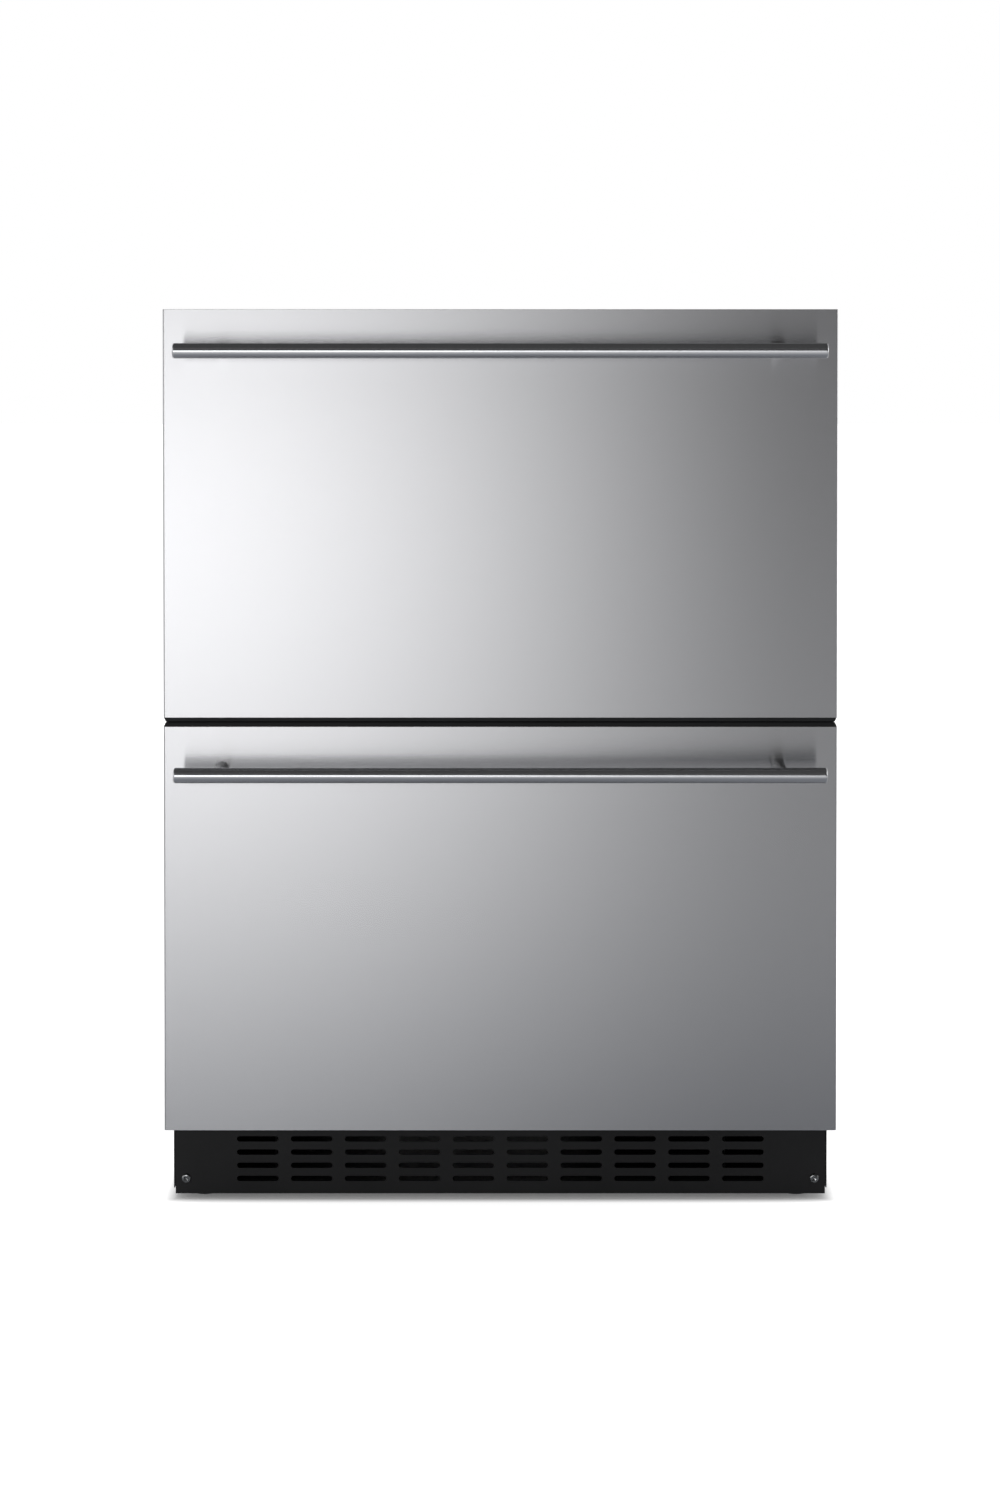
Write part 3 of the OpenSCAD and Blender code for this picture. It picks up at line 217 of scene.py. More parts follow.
def finish_of(name, inputs):
    """A new material with one Principled shader; gives the material, its tree and the shader."""
    made = bpy.data.materials.new(name)
    made.use_nodes = True
    tree = made.node_tree
    tree.nodes.clear()
    shader = add(tree, "ShaderNodeBsdfPrincipled", inputs)
    add(tree, "ShaderNodeOutputMaterial", {"Surface": shader.outputs[0]})
    return made, tree, shader


def pattern(tree, size_mm, detail=2.0, kind="ShaderNodeTexNoise", **settings):
    """Noise on Object coordinates whose features are size_mm long in X, Y and Z."""
    place = add(tree, "ShaderNodeTexCoord").outputs["Object"]
    scale = [1 / (MM * s) for s in size_mm]
    placed = add(tree, "ShaderNodeMapping", {"Vector": place, "Scale": scale})
    inputs = {"Vector": placed.outputs[0], "Scale": 1.0}
    if kind == "ShaderNodeTexNoise":
        inputs["Detail"] = detail
    return add(tree, kind, inputs, **settings).outputs


def varied(tree, shader, tone, tones, gloss, roughness, relief, depth_mm, span=(0.25, 0.75)):
    """Varies a shader over its surface. A pattern's values in the span give, in proportion, the colour
    between two tones and the roughness between two limits. The relief stands depth_mm high."""
    spread = {"From Min": span[0], "From Max": span[1]}
    if tone is not None:
        share = add(tree, "ShaderNodeMapRange", {"Value": tone, **spread}).outputs[0]
        blend = add(tree, "ShaderNodeMix", {0: share, 6: tones[0], 7: tones[1]}, data_type="RGBA")
        tree.links.new(blend.outputs[2], shader.inputs["Base Color"])
    polish = add(tree, "ShaderNodeMapRange", {
        "Value": gloss, "To Min": roughness[0], "To Max": roughness[1], **spread})
    tree.links.new(polish.outputs[0], shader.inputs["Roughness"])
    if depth_mm:
        bump = add(tree, "ShaderNodeBump", {
            "Height": relief, "Distance": depth_mm * MM, "Strength": 1.0})
        tree.links.new(bump.outputs[0], shader.inputs["Normal"])


def shade(colour, factor):
    """The colour made darker or lighter by a factor, no channel above 1."""
    return (*[min(1.0, c * factor) for c in colour[:3]], 1.0)


def metal(name, colour, roughness, spread, size_mm, tangent=None, anisotropy=0.0, depth_mm=0.0,
          tone=0.06):
    """A bare metal with streaks of the given size, which vary its tone and its roughness."""
    made, tree, shader = finish_of(name, {
        "Metallic": 1.0, "Roughness": roughness, "Anisotropic": anisotropy})
    streak = pattern(tree, size_mm, 3.0)[0]
    varied(tree, shader, streak, (shade(colour, 1 - tone), shade(colour, 1 + tone)),
           streak, (roughness - spread, roughness + spread), streak, depth_mm)
    if tangent is not None:
        along = add(tree, "ShaderNodeCombineXYZ", {"X": tangent[0], "Y": tangent[1], "Z": tangent[2]})
        tree.links.new(along.outputs[0], shader.inputs["Tangent"])
    return made


def moulded(name, colour, roughness, grain_mm, depth_mm, level=0.5, ior=1.5, tone=0.05, spread=0.05):
    """A moulded, painted or formed surface: fine grain in its relief, slow changes of tone."""
    made, tree, shader = finish_of(name, {"Roughness": roughness, "IOR": ior, "Specular IOR Level": level})
    cloud = pattern(tree, (60, 60, 60), 4.0)[0]
    grain = pattern(tree, (grain_mm,) * 3, 2.0)[0]
    varied(tree, shader, cloud, (shade(colour, 1 - tone), shade(colour, 1 + tone)),
           grain, (roughness - spread, roughness + spread), grain, depth_mm)
    return made


def brushed_stainless(colours):
    """Stainless sheet, AISI 430 with a No. 4 finish: belt-ground along X, so it mirrors sideways and
    smears up and down. The scratches are 0.1 mm wide and drawn here 0.7 mm wide, so that they show."""
    return metal("brushed_stainless_sheet", colours.steel, 0.215, 0.006, (120, 120, 0.7),
                 tangent=(0.02, 0.01, 1), anisotropy=1.0, depth_mm=0.0002, tone=0.02)


def ground_bar(colours):
    """Stainless rod, centreless-ground: fine rings round it, so a highlight runs along it."""
    return metal("centreless_ground_stainless_bar", colours.bar, 0.22, 0.02, (0.8, 40, 40),
                 tangent=(1, 0.02, 0.01), anisotropy=0.97, tone=0.02)


def ground_post(colours):
    """The same rod cut into posts, its axis along Y. Their colour is painted darker than the bar's, as
    painted shade for the shade that falls on them between the bar and the skin."""
    # painted shade: the posts' colour is the bar's darkened to 0.42, standing in for the shade between bar
    # and skin
    painted_shade_tone = shade(colours.bar, 0.42)
    return metal("centreless_ground_stainless_post", painted_shade_tone, 0.25, 0.02, (40, 0.8, 40),
                 tangent=(0.02, 1, 0.01), anisotropy=0.9, tone=0.02)


def black_powder_coat(colours):
    """Steel with a satin black polyester powder coat: stoved, with a faint orange peel of 2 mm."""
    return moulded("satin_black_powder_coat", colours.black_paint, 0.42, 2.2, 0.012, level=0.22,
                   tone=0.12)


def black_coil_coat(colours):
    """Black coil-coated steel of the casing: roller-painted before it is folded, so it is smoother and
    glossier than powder, with a faint texture of 4 mm that softens what it mirrors."""
    return moulded("black_coil_coated_steel", colours.black_paint, 0.33, 4.0, 0.02, level=0.42, tone=0.1)


def galvanised(colours):
    """Hot-dip galvanised sheet: zinc crystals about 9 mm across, each turned its own way, so each
    shows its own grey and its own gloss."""
    made, tree, shader = finish_of("hot_dip_galvanised_sheet", {"Metallic": 1.0})
    crystal = pattern(tree, (9, 9, 9), kind="ShaderNodeTexVoronoi", feature="F1")
    grey = add(tree, "ShaderNodeSeparateColor", {0: crystal["Color"]}).outputs
    varied(tree, shader, grey[0], (shade(colours.zinc, 0.9), shade(colours.zinc, 1.12)),
           grey[1], (0.42, 0.5), crystal["Distance"], 0.004, span=(0, 1))
    return made


def zinc_plated(colours):
    """Cold-rolled strip, roll-formed and electroplated with clear-passivated zinc: bright, faintly
    blue, with drawing lines along Y that are 0.2 mm apart and drawn 1 mm apart."""
    return metal("clear_zinc_plated_steel", colours.zinc, 0.3, 0.06, (1.0, 70, 1.0), depth_mm=0.002)


def nickel_plated(colours):
    """Nickel-plated steel screws, cold-headed and barrel-plated: bright with soft tumbling marks."""
    return metal("nickel_plated_steel", colours.nickel, 0.14, 0.04, (1.5, 1.5, 1.5), depth_mm=0.004)


def white_polystyrene(colours):
    """High-impact polystyrene, vacuum-formed: glossy white with a slight draw texture of 3 mm."""
    return moulded("white_high_impact_polystyrene", colours.liner, 0.24, 3.0, 0.01, ior=1.59,
                   tone=0.02)


def black_abs(colours):
    """Injection-moulded black ABS with a spark-eroded texture of 0.8 mm, which makes it satin."""
    return moulded("textured_black_abs", colours.black_plastic, 0.48, 0.8, 0.02, level=0.4, ior=1.54,
                   tone=0.1)


def glossy_abs(colours):
    """Injection-moulded black ABS of the buttons, from a polished mould, so they show on the housing."""
    return moulded("polished_black_abs", colours.black_plastic, 0.12, 6.0, 0.01, level=0.6, ior=1.54,
                   tone=0.1)


def grey_polystyrene(colours):
    """Injection-moulded grey polystyrene of the bins: semi-gloss, faint flow clouds."""
    return moulded("grey_moulded_polystyrene", colours.bin, 0.33, 1.6, 0.008, ior=1.59, tone=0.02)


def clear_san(colours):
    """Clear styrene-acrylonitrile, injection-moulded and polished: shows as edges and reflections."""
    made, tree, shader = finish_of("clear_moulded_san", {
        "Base Color": colours.divider, "IOR": 1.57, "Transmission Weight": 0.92, "Roughness": 0.04})
    wave = pattern(tree, (22, 22, 22), 1.0)[0]
    varied(tree, shader, None, None, wave, (0.02, 0.07), wave, 0.02)
    return made


def polyurethane_foam(colours):
    """Rigid polyurethane foam, blown in place: matt cream with cells of 1.2 mm."""
    return moulded("rigid_polyurethane_foam", colours.foam, 0.9, 1.2, 0.25, level=0.2, tone=0.08)


def soft_pvc(colours):
    """Extruded dark grey plasticised PVC of the gaskets: silky, with faint die lines."""
    return moulded("extruded_soft_pvc", colours.gasket, 0.46, 2.5, 0.01, level=0.4, ior=1.53)


def black_rubber(colours):
    """Moulded EPDM rubber: matt black with a slight bloom in clouds."""
    return moulded("moulded_epdm_rubber", colours.rubber, 0.68, 1.2, 0.02, level=0.35, ior=1.52, tone=0.2)


def aluminium(colours):
    """Mill-finish aluminium of the fins and tube: soft grey with drawing lines of 1 mm."""
    return metal("mill_finish_aluminium", colours.aluminium, 0.38, 0.06, (1.2, 12, 1.2), depth_mm=0.003)


def copper(colours):
    """Drawn copper tube: warm, a little dulled by brown oxide in patches of 15 mm."""
    return metal("drawn_copper_tube", colours.copper, 0.28, 0.09, (15, 15, 15), tone=0.14)


def black_enamel(colours):
    """Black stoving enamel, dipped and baked: deep gloss with a soft orange peel of 5 mm."""
    return moulded("black_stoving_enamel", colours.black_paint, 0.16, 5.0, 0.03, ior=1.52)


def smoked_acrylic(colours):
    """Smoked acrylic window, polished: nearly black, mirror-smooth with a faint haze in clouds."""
    return moulded("smoked_polished_acrylic", colours.window, 0.05, 9.0, 0.002, ior=1.49, spread=0.02)


def opal_acrylic(colours):
    """Opal acrylic diffuser, extruded: milky white with a silky skin, lit by diodes behind it."""
    made = moulded("extruded_opal_acrylic", colours.opal, 0.3, 4.0, 0.006, ior=1.49, tone=0.01)
    shader = made.node_tree.nodes["Principled BSDF"]
    shader.inputs["Emission Color"].default_value = colours.opal
    shader.inputs["Emission Strength"].default_value = 12.0
    return made


def white_polypropylene(colours):
    """Injection-moulded white polypropylene of the fan: waxy, slightly uneven in gloss."""
    return moulded("white_moulded_polypropylene", colours.opal, 0.36, 1.4, 0.01, ior=1.49)


FINISHES = {}        # the finishes made so far, by their makers' names


def finish(maker):
    """The finish that a maker function gives, made once."""
    if maker.__name__ not in FINISHES:
        FINISHES[maker.__name__] = maker(bpy.context.scene.fridge_colours)
    return FINISHES[maker.__name__]


# ---- Drawer fronts -------------------------------------------------------------------------------

def drawer_skin(drawer, sizes):
    """Folded skin: across it, hem, side, bend, face, bend, side and hem, carried up its height."""
    low, high = corners(f"{drawer}_front_skin")
    hem, hem_bend = 7 * MM, 1.3 * MM
    x, face, back = high[0], low[1], high[1]
    path, normals = rounded_path(
        [(hem - x, back), (-x, back), (-x, face), (x, face), (x, back), (x - hem, back)],
        [0, hem_bend, sizes.skin_bend, sizes.skin_bend, hem_bend, 0], 8)
    grid = sheet(path, normals, low[2], high[2], sizes.sheet_ease)
    piece(f"{drawer}_folded_skin", [grid], finish(brushed_stainless), f"{drawer}_drawer",
          "stainless_skin", f"{drawer}_front_skin")


def end_caps(drawer, sizes):
    """Two moulded caps. Each is a profile of (offset outwards, height) carried round its outline: a
    plug in the skin and, beside the gap between the fronts, a bevelled lip that stands out of it."""
    low, high = corners(f"{drawer}_end_caps")
    x, face, back = high[0], low[1], high[1]
    plug, ease, front_corner, rear_corner = 3 * MM, 0.5 * MM, 2 * MM, 4 * MM
    path, normals = rounded_path([(-x, face), (x, face), (x, back), (-x, back)],
                                 [front_corner] * 2 + [rear_corner] * 2, 6, closed=True)
    grids = []
    for z, out in ((low[2], -1), (high[2], 1)):
        if (drawer, out) in (("upper", -1), ("lower", 1)):
            # covers the skin's cut edge, then slants in towards the gap
            tip = [(0.7 * MM, 0), (0.9 * MM, 0.25 * MM), (0.7 * MM, 0.6 * MM),
                   (-0.5 * MM, sizes.cap_lip - ease), (-0.9 * MM, sizes.cap_lip)]
        else:
            tip = [(0, -ease), (-ease, 0)]
        profile = np.array([(-ease, -plug), (0, ease - plug)] + tip)
        profile[:, 1] = z + out * profile[:, 1]
        grids.append(closed_path_ends(carried(path, normals, profile)))
    piece(f"{drawer}_moulded_caps", grids, finish(black_abs), f"{drawer}_drawer", "black_plastic",
          f"{drawer}_end_caps")


def gasket(drawer):
    """Magnetic gasket: a dart base, a bellows fold and a rounded magnet head, one closed section
    carried round the opening's rounded rectangle."""
    low, high = corners(f"{drawer}_gasket")
    strip, corner = 16 * MM, 10 * MM
    deep = high[1] - low[1]
    x, z0, z1 = high[0] - strip / 2, low[2] + strip / 2, high[2] - strip / 2
    path, normals = rounded_path([(-x, z0), (x, z0), (x, z1), (-x, z1)], corner, 8, closed=True)
    half, waist, fold = strip / 2, 2.6 * MM, 5.4 * MM
    # half widths, each at its share of the depth, from the base to the magnet head
    side = [(half, 0), (half, 0.24), (waist, 0.32), (waist, 0.4), (fold, 0.48), (waist, 0.58),
            (half, 0.64), (half, 1.0)]
    outline = [(u, v * deep) for u, v in side] + [(-u, v * deep) for u, v in side[::-1]]
    radii_mm = np.array([0.3, 0.8, 0.5, 0.3, 1, 0.3, 1, 1.6] * 2)
    section, _ = rounded_path(outline, radii_mm * MM, 4, closed=True)
    section[:, 1] += low[1]
    grid = carried(path, normals, section, (0, 2, 1))
    piece(f"{drawer}_bellows_gasket", [grid], finish(soft_pvc), f"{drawer}_drawer", "gasket_rubber",
          f"{drawer}_gasket", sharp=50)


def handle(drawer, sizes):
    """Bar and posts. The bar is a rounded rectangle turned about X. A post's far end is a saddle:
    at height h off its axis it starts at the bar's axis plus sqrt(bar radius^2 - h^2), less its bite
    into the bar."""
    low, high = corners(f"{drawer}_handle_bar")
    centre = (low + high) / 2
    radius, half = (high[2] - low[2]) / 2, (high[0] - low[0]) / 2
    edge = sizes.bar_end
    profile, _ = rounded_path([(0, -half), (radius, -half), (radius, half), (0, half)],
                              [0, edge, edge, 0], 8)
    bar = turned(profile, centre, 0, 96)
    piece(f"{drawer}_ground_bar", [bar], finish(ground_bar), f"{drawer}_drawer", "stainless_bar",
          f"{drawer}_handle_bar")
    post_low, post_high = corners(f"{drawer}_handle_posts")
    face = corners(f"{drawer}_front_skin")[0][1]
    post_r = (post_high[2] - post_low[2]) / 2
    angle = np.linspace(0, 2 * math.pi, 65)
    ease, bite = 0.5 * MM, 0.3 * MM
    saddle = centre[1] + np.sqrt(radius ** 2 - (post_r * np.sin(angle)) ** 2) - bite
    foot = np.full(len(angle), face)
    rings = [(0, saddle), (1, saddle), (1, foot - ease), (1 - ease / post_r, foot), (0, foot)]
    grids = []
    for x in (post_low[0] + post_r, post_high[0] - post_r):
        grids.append(np.stack([np.stack([
            x + share * post_r * np.cos(angle), np.where(share == 0, y.mean(), y),
            centre[2] + share * post_r * np.sin(angle)], -1) for share, y in rings]))
    piece(f"{drawer}_saddled_posts", grids, finish(ground_post), f"{drawer}_drawer", "stainless_bar",
          f"{drawer}_handle_posts")


# ---- Casing --------------------------------------------------------------------------------------

def side_casing(side, sizes):
    """Side panel: front flange, bend, side, bend and rear flange, carried up the panel's height. The
    front flange starts above the toe kick."""
    low, high = corners(f"{side}_side_panel")
    rear_flange, rear_set, above_floor = 14 * MM, 1.1 * MM, 1.2 * MM
    base = corners("floor_plate")[0][2] + above_floor
    x, front, back = corners("right_side_panel")[1][0], low[1], high[1] - rear_set
    path, normals = rounded_path(
        [(x - SIDE_FLANGE, front), (x, front), (x, back), (x - rear_flange, back)],
        [0, CASING_BEND, CASING_BEND, 0], 6)
    cut = np.where(path[:, 1] < front + CASING_BEND * 0.6, base - low[2], 0)
    grid = sheet(path, normals, low[2], high[2], sizes.sheet_ease, cut=cut)
    if side == "left":
        grid[..., 0] *= -1
    piece(f"{side}_folded_casing", [grid], finish(black_coil_coat), "cabinet", "black_painted_steel",
          f"{side}_side_panel")


def top_casing(sizes):
    """Top panel: a flat sheet from the rear to the front, bent down into a lip that is narrower by the
    side flanges."""
    low, high = corners("top_panel")
    clearance = 0.3 * MM
    lip_half = high[0] - SIDE_FLANGE - clearance
    path, normals = rounded_path(
        [(high[1], high[2]), (low[1], high[2]), (low[1], low[2])], [0, CASING_BEND, 0], 6)
    grid = sheet(path, normals, low[0], high[0], sizes.sheet_ease, (1, 2, 0))
    lip = grid[..., 2] < high[2] - CASING_BEND * 0.9
    grid[..., 0] = np.where(lip, np.clip(grid[..., 0], -lip_half, lip_half), grid[..., 0])
    piece("folded_top_casing", [grid], finish(black_coil_coat), "cabinet", "black_painted_steel",
          "top_panel")


# ---- Fasteners and feet --------------------------------------------------------------------------

def screw_heads():
    """Pan-head screws with a cross recess. Seen along its axis, a head is a disc whose height is
    h (1 - (r / R)^5)^(1/2.2), less the recess: a depth that falls to zero across the edge of each arm
    of the cross."""
    head_r, head_h = 4.3 * MM, 2 * MM
    arm_w, arm_l, deep = 0.85 * MM, 2.7 * MM, 1.7 * MM
    side_slope, end_slope = 0.25 * MM, 0.5 * MM
    ring = np.concatenate([np.linspace(0, 0.66, 20), np.linspace(0.7, 1, 16)])[:, None]
    angle = np.linspace(0, 2 * math.pi, 97)[None]
    across, up = head_r * ring * np.cos(angle), head_r * ring * np.sin(angle)
    dome = head_h * (1 - ring ** 5) ** (1 / 2.2) * np.ones_like(angle)
    u, v = np.abs(across + up) / math.sqrt(2), np.abs(across - up) / math.sqrt(2)
    arm = np.maximum(*[
        np.clip((arm_w - thin) / side_slope + 0.5, 0, 1) * np.clip((arm_l - far) / end_slope, 0, 1)
        for thin, far in ((u, v), (v, u))])
    height = dome - deep * arm * np.clip(1.1 - np.hypot(across, up) / arm_l * 0.6, 0, 1)
    height[-1] = 0
    front_y, rear_y = corners("toe_kick_grille")[0][1], corners("rear_panel")[0][1] + SHEET
    grids = [np.stack([side * TOE_SCREW[0] + across, front_y - height, TOE_SCREW[1] + up], -1)
             for side in (-1, 1)]
    grids += [np.stack([side * REAR_SCREW_X + across, rear_y + height, row + up], -1)
              for side in (-1, 1) for row in REAR_SCREW_ROWS]
    closed = [np.concatenate([g, np.broadcast_to(g[-1:].mean((0, 1)), g[-1:].shape)]) for g in grids]
    piece("pan_head_screws", closed, finish(nickel_plated), "cabinet", "chromed_screws",
          "cabinet_screws", sharp=38, flat_first=False)


def hexagon(angle):
    """Radius of a hexagon over its distance to a flat: 1 / cos(angle from the nearest flat's middle)."""
    return 1 / np.cos((angle + math.pi / 6) % (math.pi / 3) - math.pi / 6)


def levelling_foot(node):
    """Foot: a moulded pad turned about Z, a chamfered hexagon collar, and a stem whose radius swings
    by half a thread depth as a cosine of height over pitch less the turn."""
    low, high = corners(node)
    centre = np.array([*((low + high) / 2)[:2], low[2]])
    pad_r, pad_h, crown = (high[0] - low[0]) / 2, 5 * MM, 0.4 * MM
    pad, _ = rounded_path([(0, 0), (pad_r - 2 * MM, 0), (pad_r, 2 * MM), (pad_r, pad_h),
                           (10 * MM, pad_h), (9.6 * MM, pad_h + crown), (0, pad_h + crown)],
                          [0, 0.6 * MM, 0.8 * MM, 1 * MM, 0.3 * MM, 0.2 * MM, 0], 4)
    inner, outer, collar_top, chamfer = 7 * MM, 7.7 * MM, 10 * MM, 0.6 * MM
    collar = [(0, pad_h), (inner, pad_h), (outer, pad_h + chamfer), (outer, collar_top - chamfer),
              (inner, collar_top), (0, collar_top)]
    stem_r, stem_base, pitch, thread, step = 5 * MM, 9 * MM, 1.5 * MM, 0.45 * MM, 0.25 * MM
    z = np.arange(stem_base, high[2] - low[2] - 0.4 * MM, step)[:, None]
    angle = np.linspace(0, 2 * math.pi, 33)
    radius = stem_r - thread * (1 - np.cos(2 * math.pi * (z / pitch) - angle)) / 2
    stem = np.stack([centre[0] + radius * np.cos(angle), centre[1] + radius * np.sin(angle),
                     z + 0 * angle + low[2]], -1)
    tip = np.broadcast_to([centre[0], centre[1], high[2]], stem[:1].shape)
    root = np.broadcast_to([centre[0], centre[1], low[2] + stem_base], stem[:1].shape)
    grids = [turned(pad, centre, 2), turned(collar, centre, 2, 60, hexagon),
             np.concatenate([root, stem, tip])]
    piece(f"{node}_levelling", grids, finish(black_abs), node, "black_plastic", node,
          sharp=48, flat_first=False)


# ---- Finishes of the nodes that keep their own shape ---------------------------------------------

OWN_SHAPE = {
    galvanised: ("rear_panel", "floor_plate"),
    black_powder_coat: ("machine_cover", "cross_rails", "toe_kick_grille", "base_pan"),
    polyurethane_foam: ("cabinet_foam", "upper_front_foam", "lower_front_foam"),
    white_polystyrene: ("inner_liner", "evaporator_cover", "upper_inner_panel", "lower_inner_panel"),
    aluminium: ("evaporator_coil",),
    black_abs: ("evaporator_fan_motor", "control_housing", "condenser_fan_shroud", "condenser_fan",
                "drip_tray"),
    glossy_abs: ("power_button", "colder_button", "warmer_button"),
    opal_acrylic: ("light_strip",),
    white_polypropylene: ("evaporator_fan",),
    smoked_acrylic: ("display_window",),
    black_enamel: ("compressor", "condenser_coil"),
    black_rubber: ("compressor_grommets", "cord_gland"),
    copper: ("refrigerant_tubing",),
    zinc_plated: tuple(f"{d}_{n}" for d in DRAWERS
                       for n in ("slide_outer", "slide_middle", "slide_inner", "bin_rails")),
    grey_polystyrene: ("upper_bin", "lower_bin"),
    clear_san: ("upper_divider", "lower_divider"),
}

# Width in millimetres of the rounding along each node's sharp edges
EASED = {
    "rear_panel": 0.3, "machine_cover": 0.25, "toe_kick_grille": 0.3, "cross_rails": 0.5,
    "inner_liner": 1.0, "evaporator_cover": 0.8, "upper_inner_panel": 1.2, "lower_inner_panel": 1.2,
    "control_housing": 0.5, "upper_bin": 0.9, "lower_bin": 0.9, "upper_divider": 0.5,
    "lower_divider": 0.5, "upper_bin_rails": 0.4, "lower_bin_rails": 0.4, "drip_tray": 0.5,
    "base_pan": 0.4, "condenser_fan_shroud": 0.4, "power_button": 0.6, "colder_button": 0.6,
    "warmer_button": 0.6,
}


def dress(node, maker):
    """Gives a node its finish in every material slot of its object."""
    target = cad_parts[node]
    if not target.material_slots:
        target.data.materials.append(finish(maker))
    for place in target.material_slots:
        place.material = finish(maker)


def ease_edges(node, width_mm):
    """Eases a node's edges: its triangles are welded, flat ones joined, and sharp edges rounded."""
    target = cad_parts[node]
    weld = target.modifiers.new("Weld", "WELD")
    weld.merge_threshold = 0.01 * MM
    planes = target.modifiers.new("Planes", "DECIMATE")
    planes.decimate_type, planes.angle_limit = "DISSOLVE", math.radians(1)
    bevel = target.modifiers.new("Eased edges", "BEVEL")
    bevel.width, bevel.segments, bevel.limit_method = width_mm * MM, 2, "ANGLE"
    bevel.angle_limit = math.radians(35)
    weighted = target.modifiers.new("Flat faces first", "WEIGHTED_NORMAL")
    weighted.weight, weighted.keep_sharp = 100, False


# ---- Stage ---------------------------------------------------------------------------------------

def looked_at(tree, ray):
    """1 for rays from the camera and rays that went through clear parts, else 0."""
    return add(tree, "ShaderNodeMath", {0: ray["Is Camera Ray"], 1: ray["Is Transmission Ray"]},
               operation="MAXIMUM").outputs[0]


def beyond(tree, place, centre, half):
    """Distance from a rectangle that lies in the floor: the length of max(|p - centre| - half, 0)."""
    kind = "ShaderNodeVectorMath"
    moved = add(tree, kind, {0: place, 1: (*centre, 0)}, operation="SUBTRACT").outputs[0]
    folded = add(tree, kind, {0: moved}, operation="ABSOLUTE").outputs[0]
    past = add(tree, kind, {0: folded, 1: (*half, 0)}, operation="SUBTRACT").outputs[0]
    outside = add(tree, kind, {0: past, 1: (0, 0, 0)}, operation="MAXIMUM").outputs[0]
    return add(tree, kind, {0: outside}, operation="LENGTH").outputs["Value"]


def stage_floor():
    """Pale floor, painted grey for glossy rays close in front of the part: a painted shade, so metal
    mirrors it darker there. Where a camera ray meets it, the colour is lifted to plain white away from the
    part, and the part's shadow stays."""
    half, shadow_reach = 30.0, 0.013
    # rectangle in front of the part and reach of the painted shade that glossy rays see on the floor
    painted_shade_centre, painted_shade_half, painted_shade_reach = (0.4, -0.5), (0.7, 0.15), 1.1
    mesh = bpy.data.meshes.new("studio_floor")
    mesh.from_pydata([(-half, -half, 0), (half, -half, 0), (half, half, 0), (-half, half, 0)], [],
                     [(0, 1, 2, 3)])
    floor = bpy.data.objects.new("studio_floor", mesh)
    bpy.context.scene.collection.objects.link(floor)
    made = bpy.data.materials.new("matt_white_studio_floor")
    made.use_nodes = True
    tree = made.node_tree
    tree.nodes.clear()
    ray = add(tree, "ShaderNodeLightPath").outputs
    place = add(tree, "ShaderNodeTexCoord").outputs["Object"]
    low, high = corners("toe_kick_grille")[0], corners("machine_cover")[1]
    base = beyond(tree, place, (low + high)[:2] / 2, (high - low)[:2] / 2)
    lift = add(tree, "ShaderNodeMapRange", {
        "Value": base, "From Max": shadow_reach, "To Min": 0.12, "To Max": 0.8}).outputs[0]
    strength = add(tree, "ShaderNodeMath", {0: looked_at(tree, ray), 1: lift},
                   operation="MULTIPLY").outputs[0]
    # painted shade: for glossy rays the floor is painted grey in front of the part, fading to pale about a
    # metre out, standing in for the floor's shade near the part
    off_painted_shade = beyond(tree, place, painted_shade_centre, painted_shade_half)
    near = add(tree, "ShaderNodeMapRange", {
        "Value": off_painted_shade, "From Max": painted_shade_reach, "To Min": 1.0, "To Max": 0.25}).outputs[0]
    mirrored_painted_shade = add(tree, "ShaderNodeMath", {0: ray["Is Glossy Ray"], 1: near},
                   operation="MULTIPLY").outputs[0]
    tone = add(tree, "ShaderNodeMix", {
        0: mirrored_painted_shade, 6: hex_colour("F6F6F6"), 7: hex_colour("989BA0")}, data_type="RGBA").outputs[2]
    paint = add(tree, "ShaderNodeBsdfDiffuse", {"Color": tone})
    glow = add(tree, "ShaderNodeEmission", {"Strength": strength})
    both = add(tree, "ShaderNodeAddShader", {0: paint.outputs[0], 1: glow.outputs[0]})
    add(tree, "ShaderNodeOutputMaterial", {"Surface": both.outputs[0]})
    made.cycles.emission_sampling = "NONE"
    mesh.materials.append(made)


def stage_world():
    """World: white to the camera and through clear parts, soft and even on matt surfaces. For gloss it
    is white behind the part and on its left, and dark in front on the right and overhead, as in a studio
    whose lamps stand on one side."""
    white_way, matt_level, dark_level = (-0.4, 0.92, 0), 0.6, 0.06
    world = bpy.data.worlds.new("studio")
    bpy.context.scene.world = world
    world.use_nodes = True
    tree = world.node_tree
    tree.nodes.clear()
    ray = add(tree, "ShaderNodeLightPath").outputs
    way = add(tree, "ShaderNodeTexCoord").outputs["Generated"]
    parts = add(tree, "ShaderNodeSeparateXYZ", {0: way}).outputs
    toward = add(tree, "ShaderNodeVectorMath", {0: way, 1: white_way}, operation="DOT_PRODUCT")
    behind = add(tree, "ShaderNodeMapRange", {
        "Value": toward.outputs["Value"], "From Min": -0.75, "From Max": 0.0},
        interpolation_type="SMOOTHSTEP").outputs[0]
    low = add(tree, "ShaderNodeMapRange", {"Value": parts["Z"], "From Min": 0.75, "From Max": 0.15},
              interpolation_type="SMOOTHSTEP").outputs[0]
    white = add(tree, "ShaderNodeMath", {0: behind, 1: low}, operation="MULTIPLY").outputs[0]
    gloss = add(tree, "ShaderNodeMapRange", {"Value": white, "To Min": dark_level}).outputs[0]
    level = add(tree, "ShaderNodeMix", {0: ray["Is Glossy Ray"], 2: matt_level, 3: gloss},
                data_type="FLOAT").outputs[0]
    strength = add(tree, "ShaderNodeMix", {0: looked_at(tree, ray), 2: level, 3: 1.0},
                   data_type="FLOAT").outputs[0]
    shell = add(tree, "ShaderNodeBackground", {"Color": (1, 1, 1, 1), "Strength": strength})
    add(tree, "ShaderNodeOutputWorld", {"Surface": shell.outputs[0]})


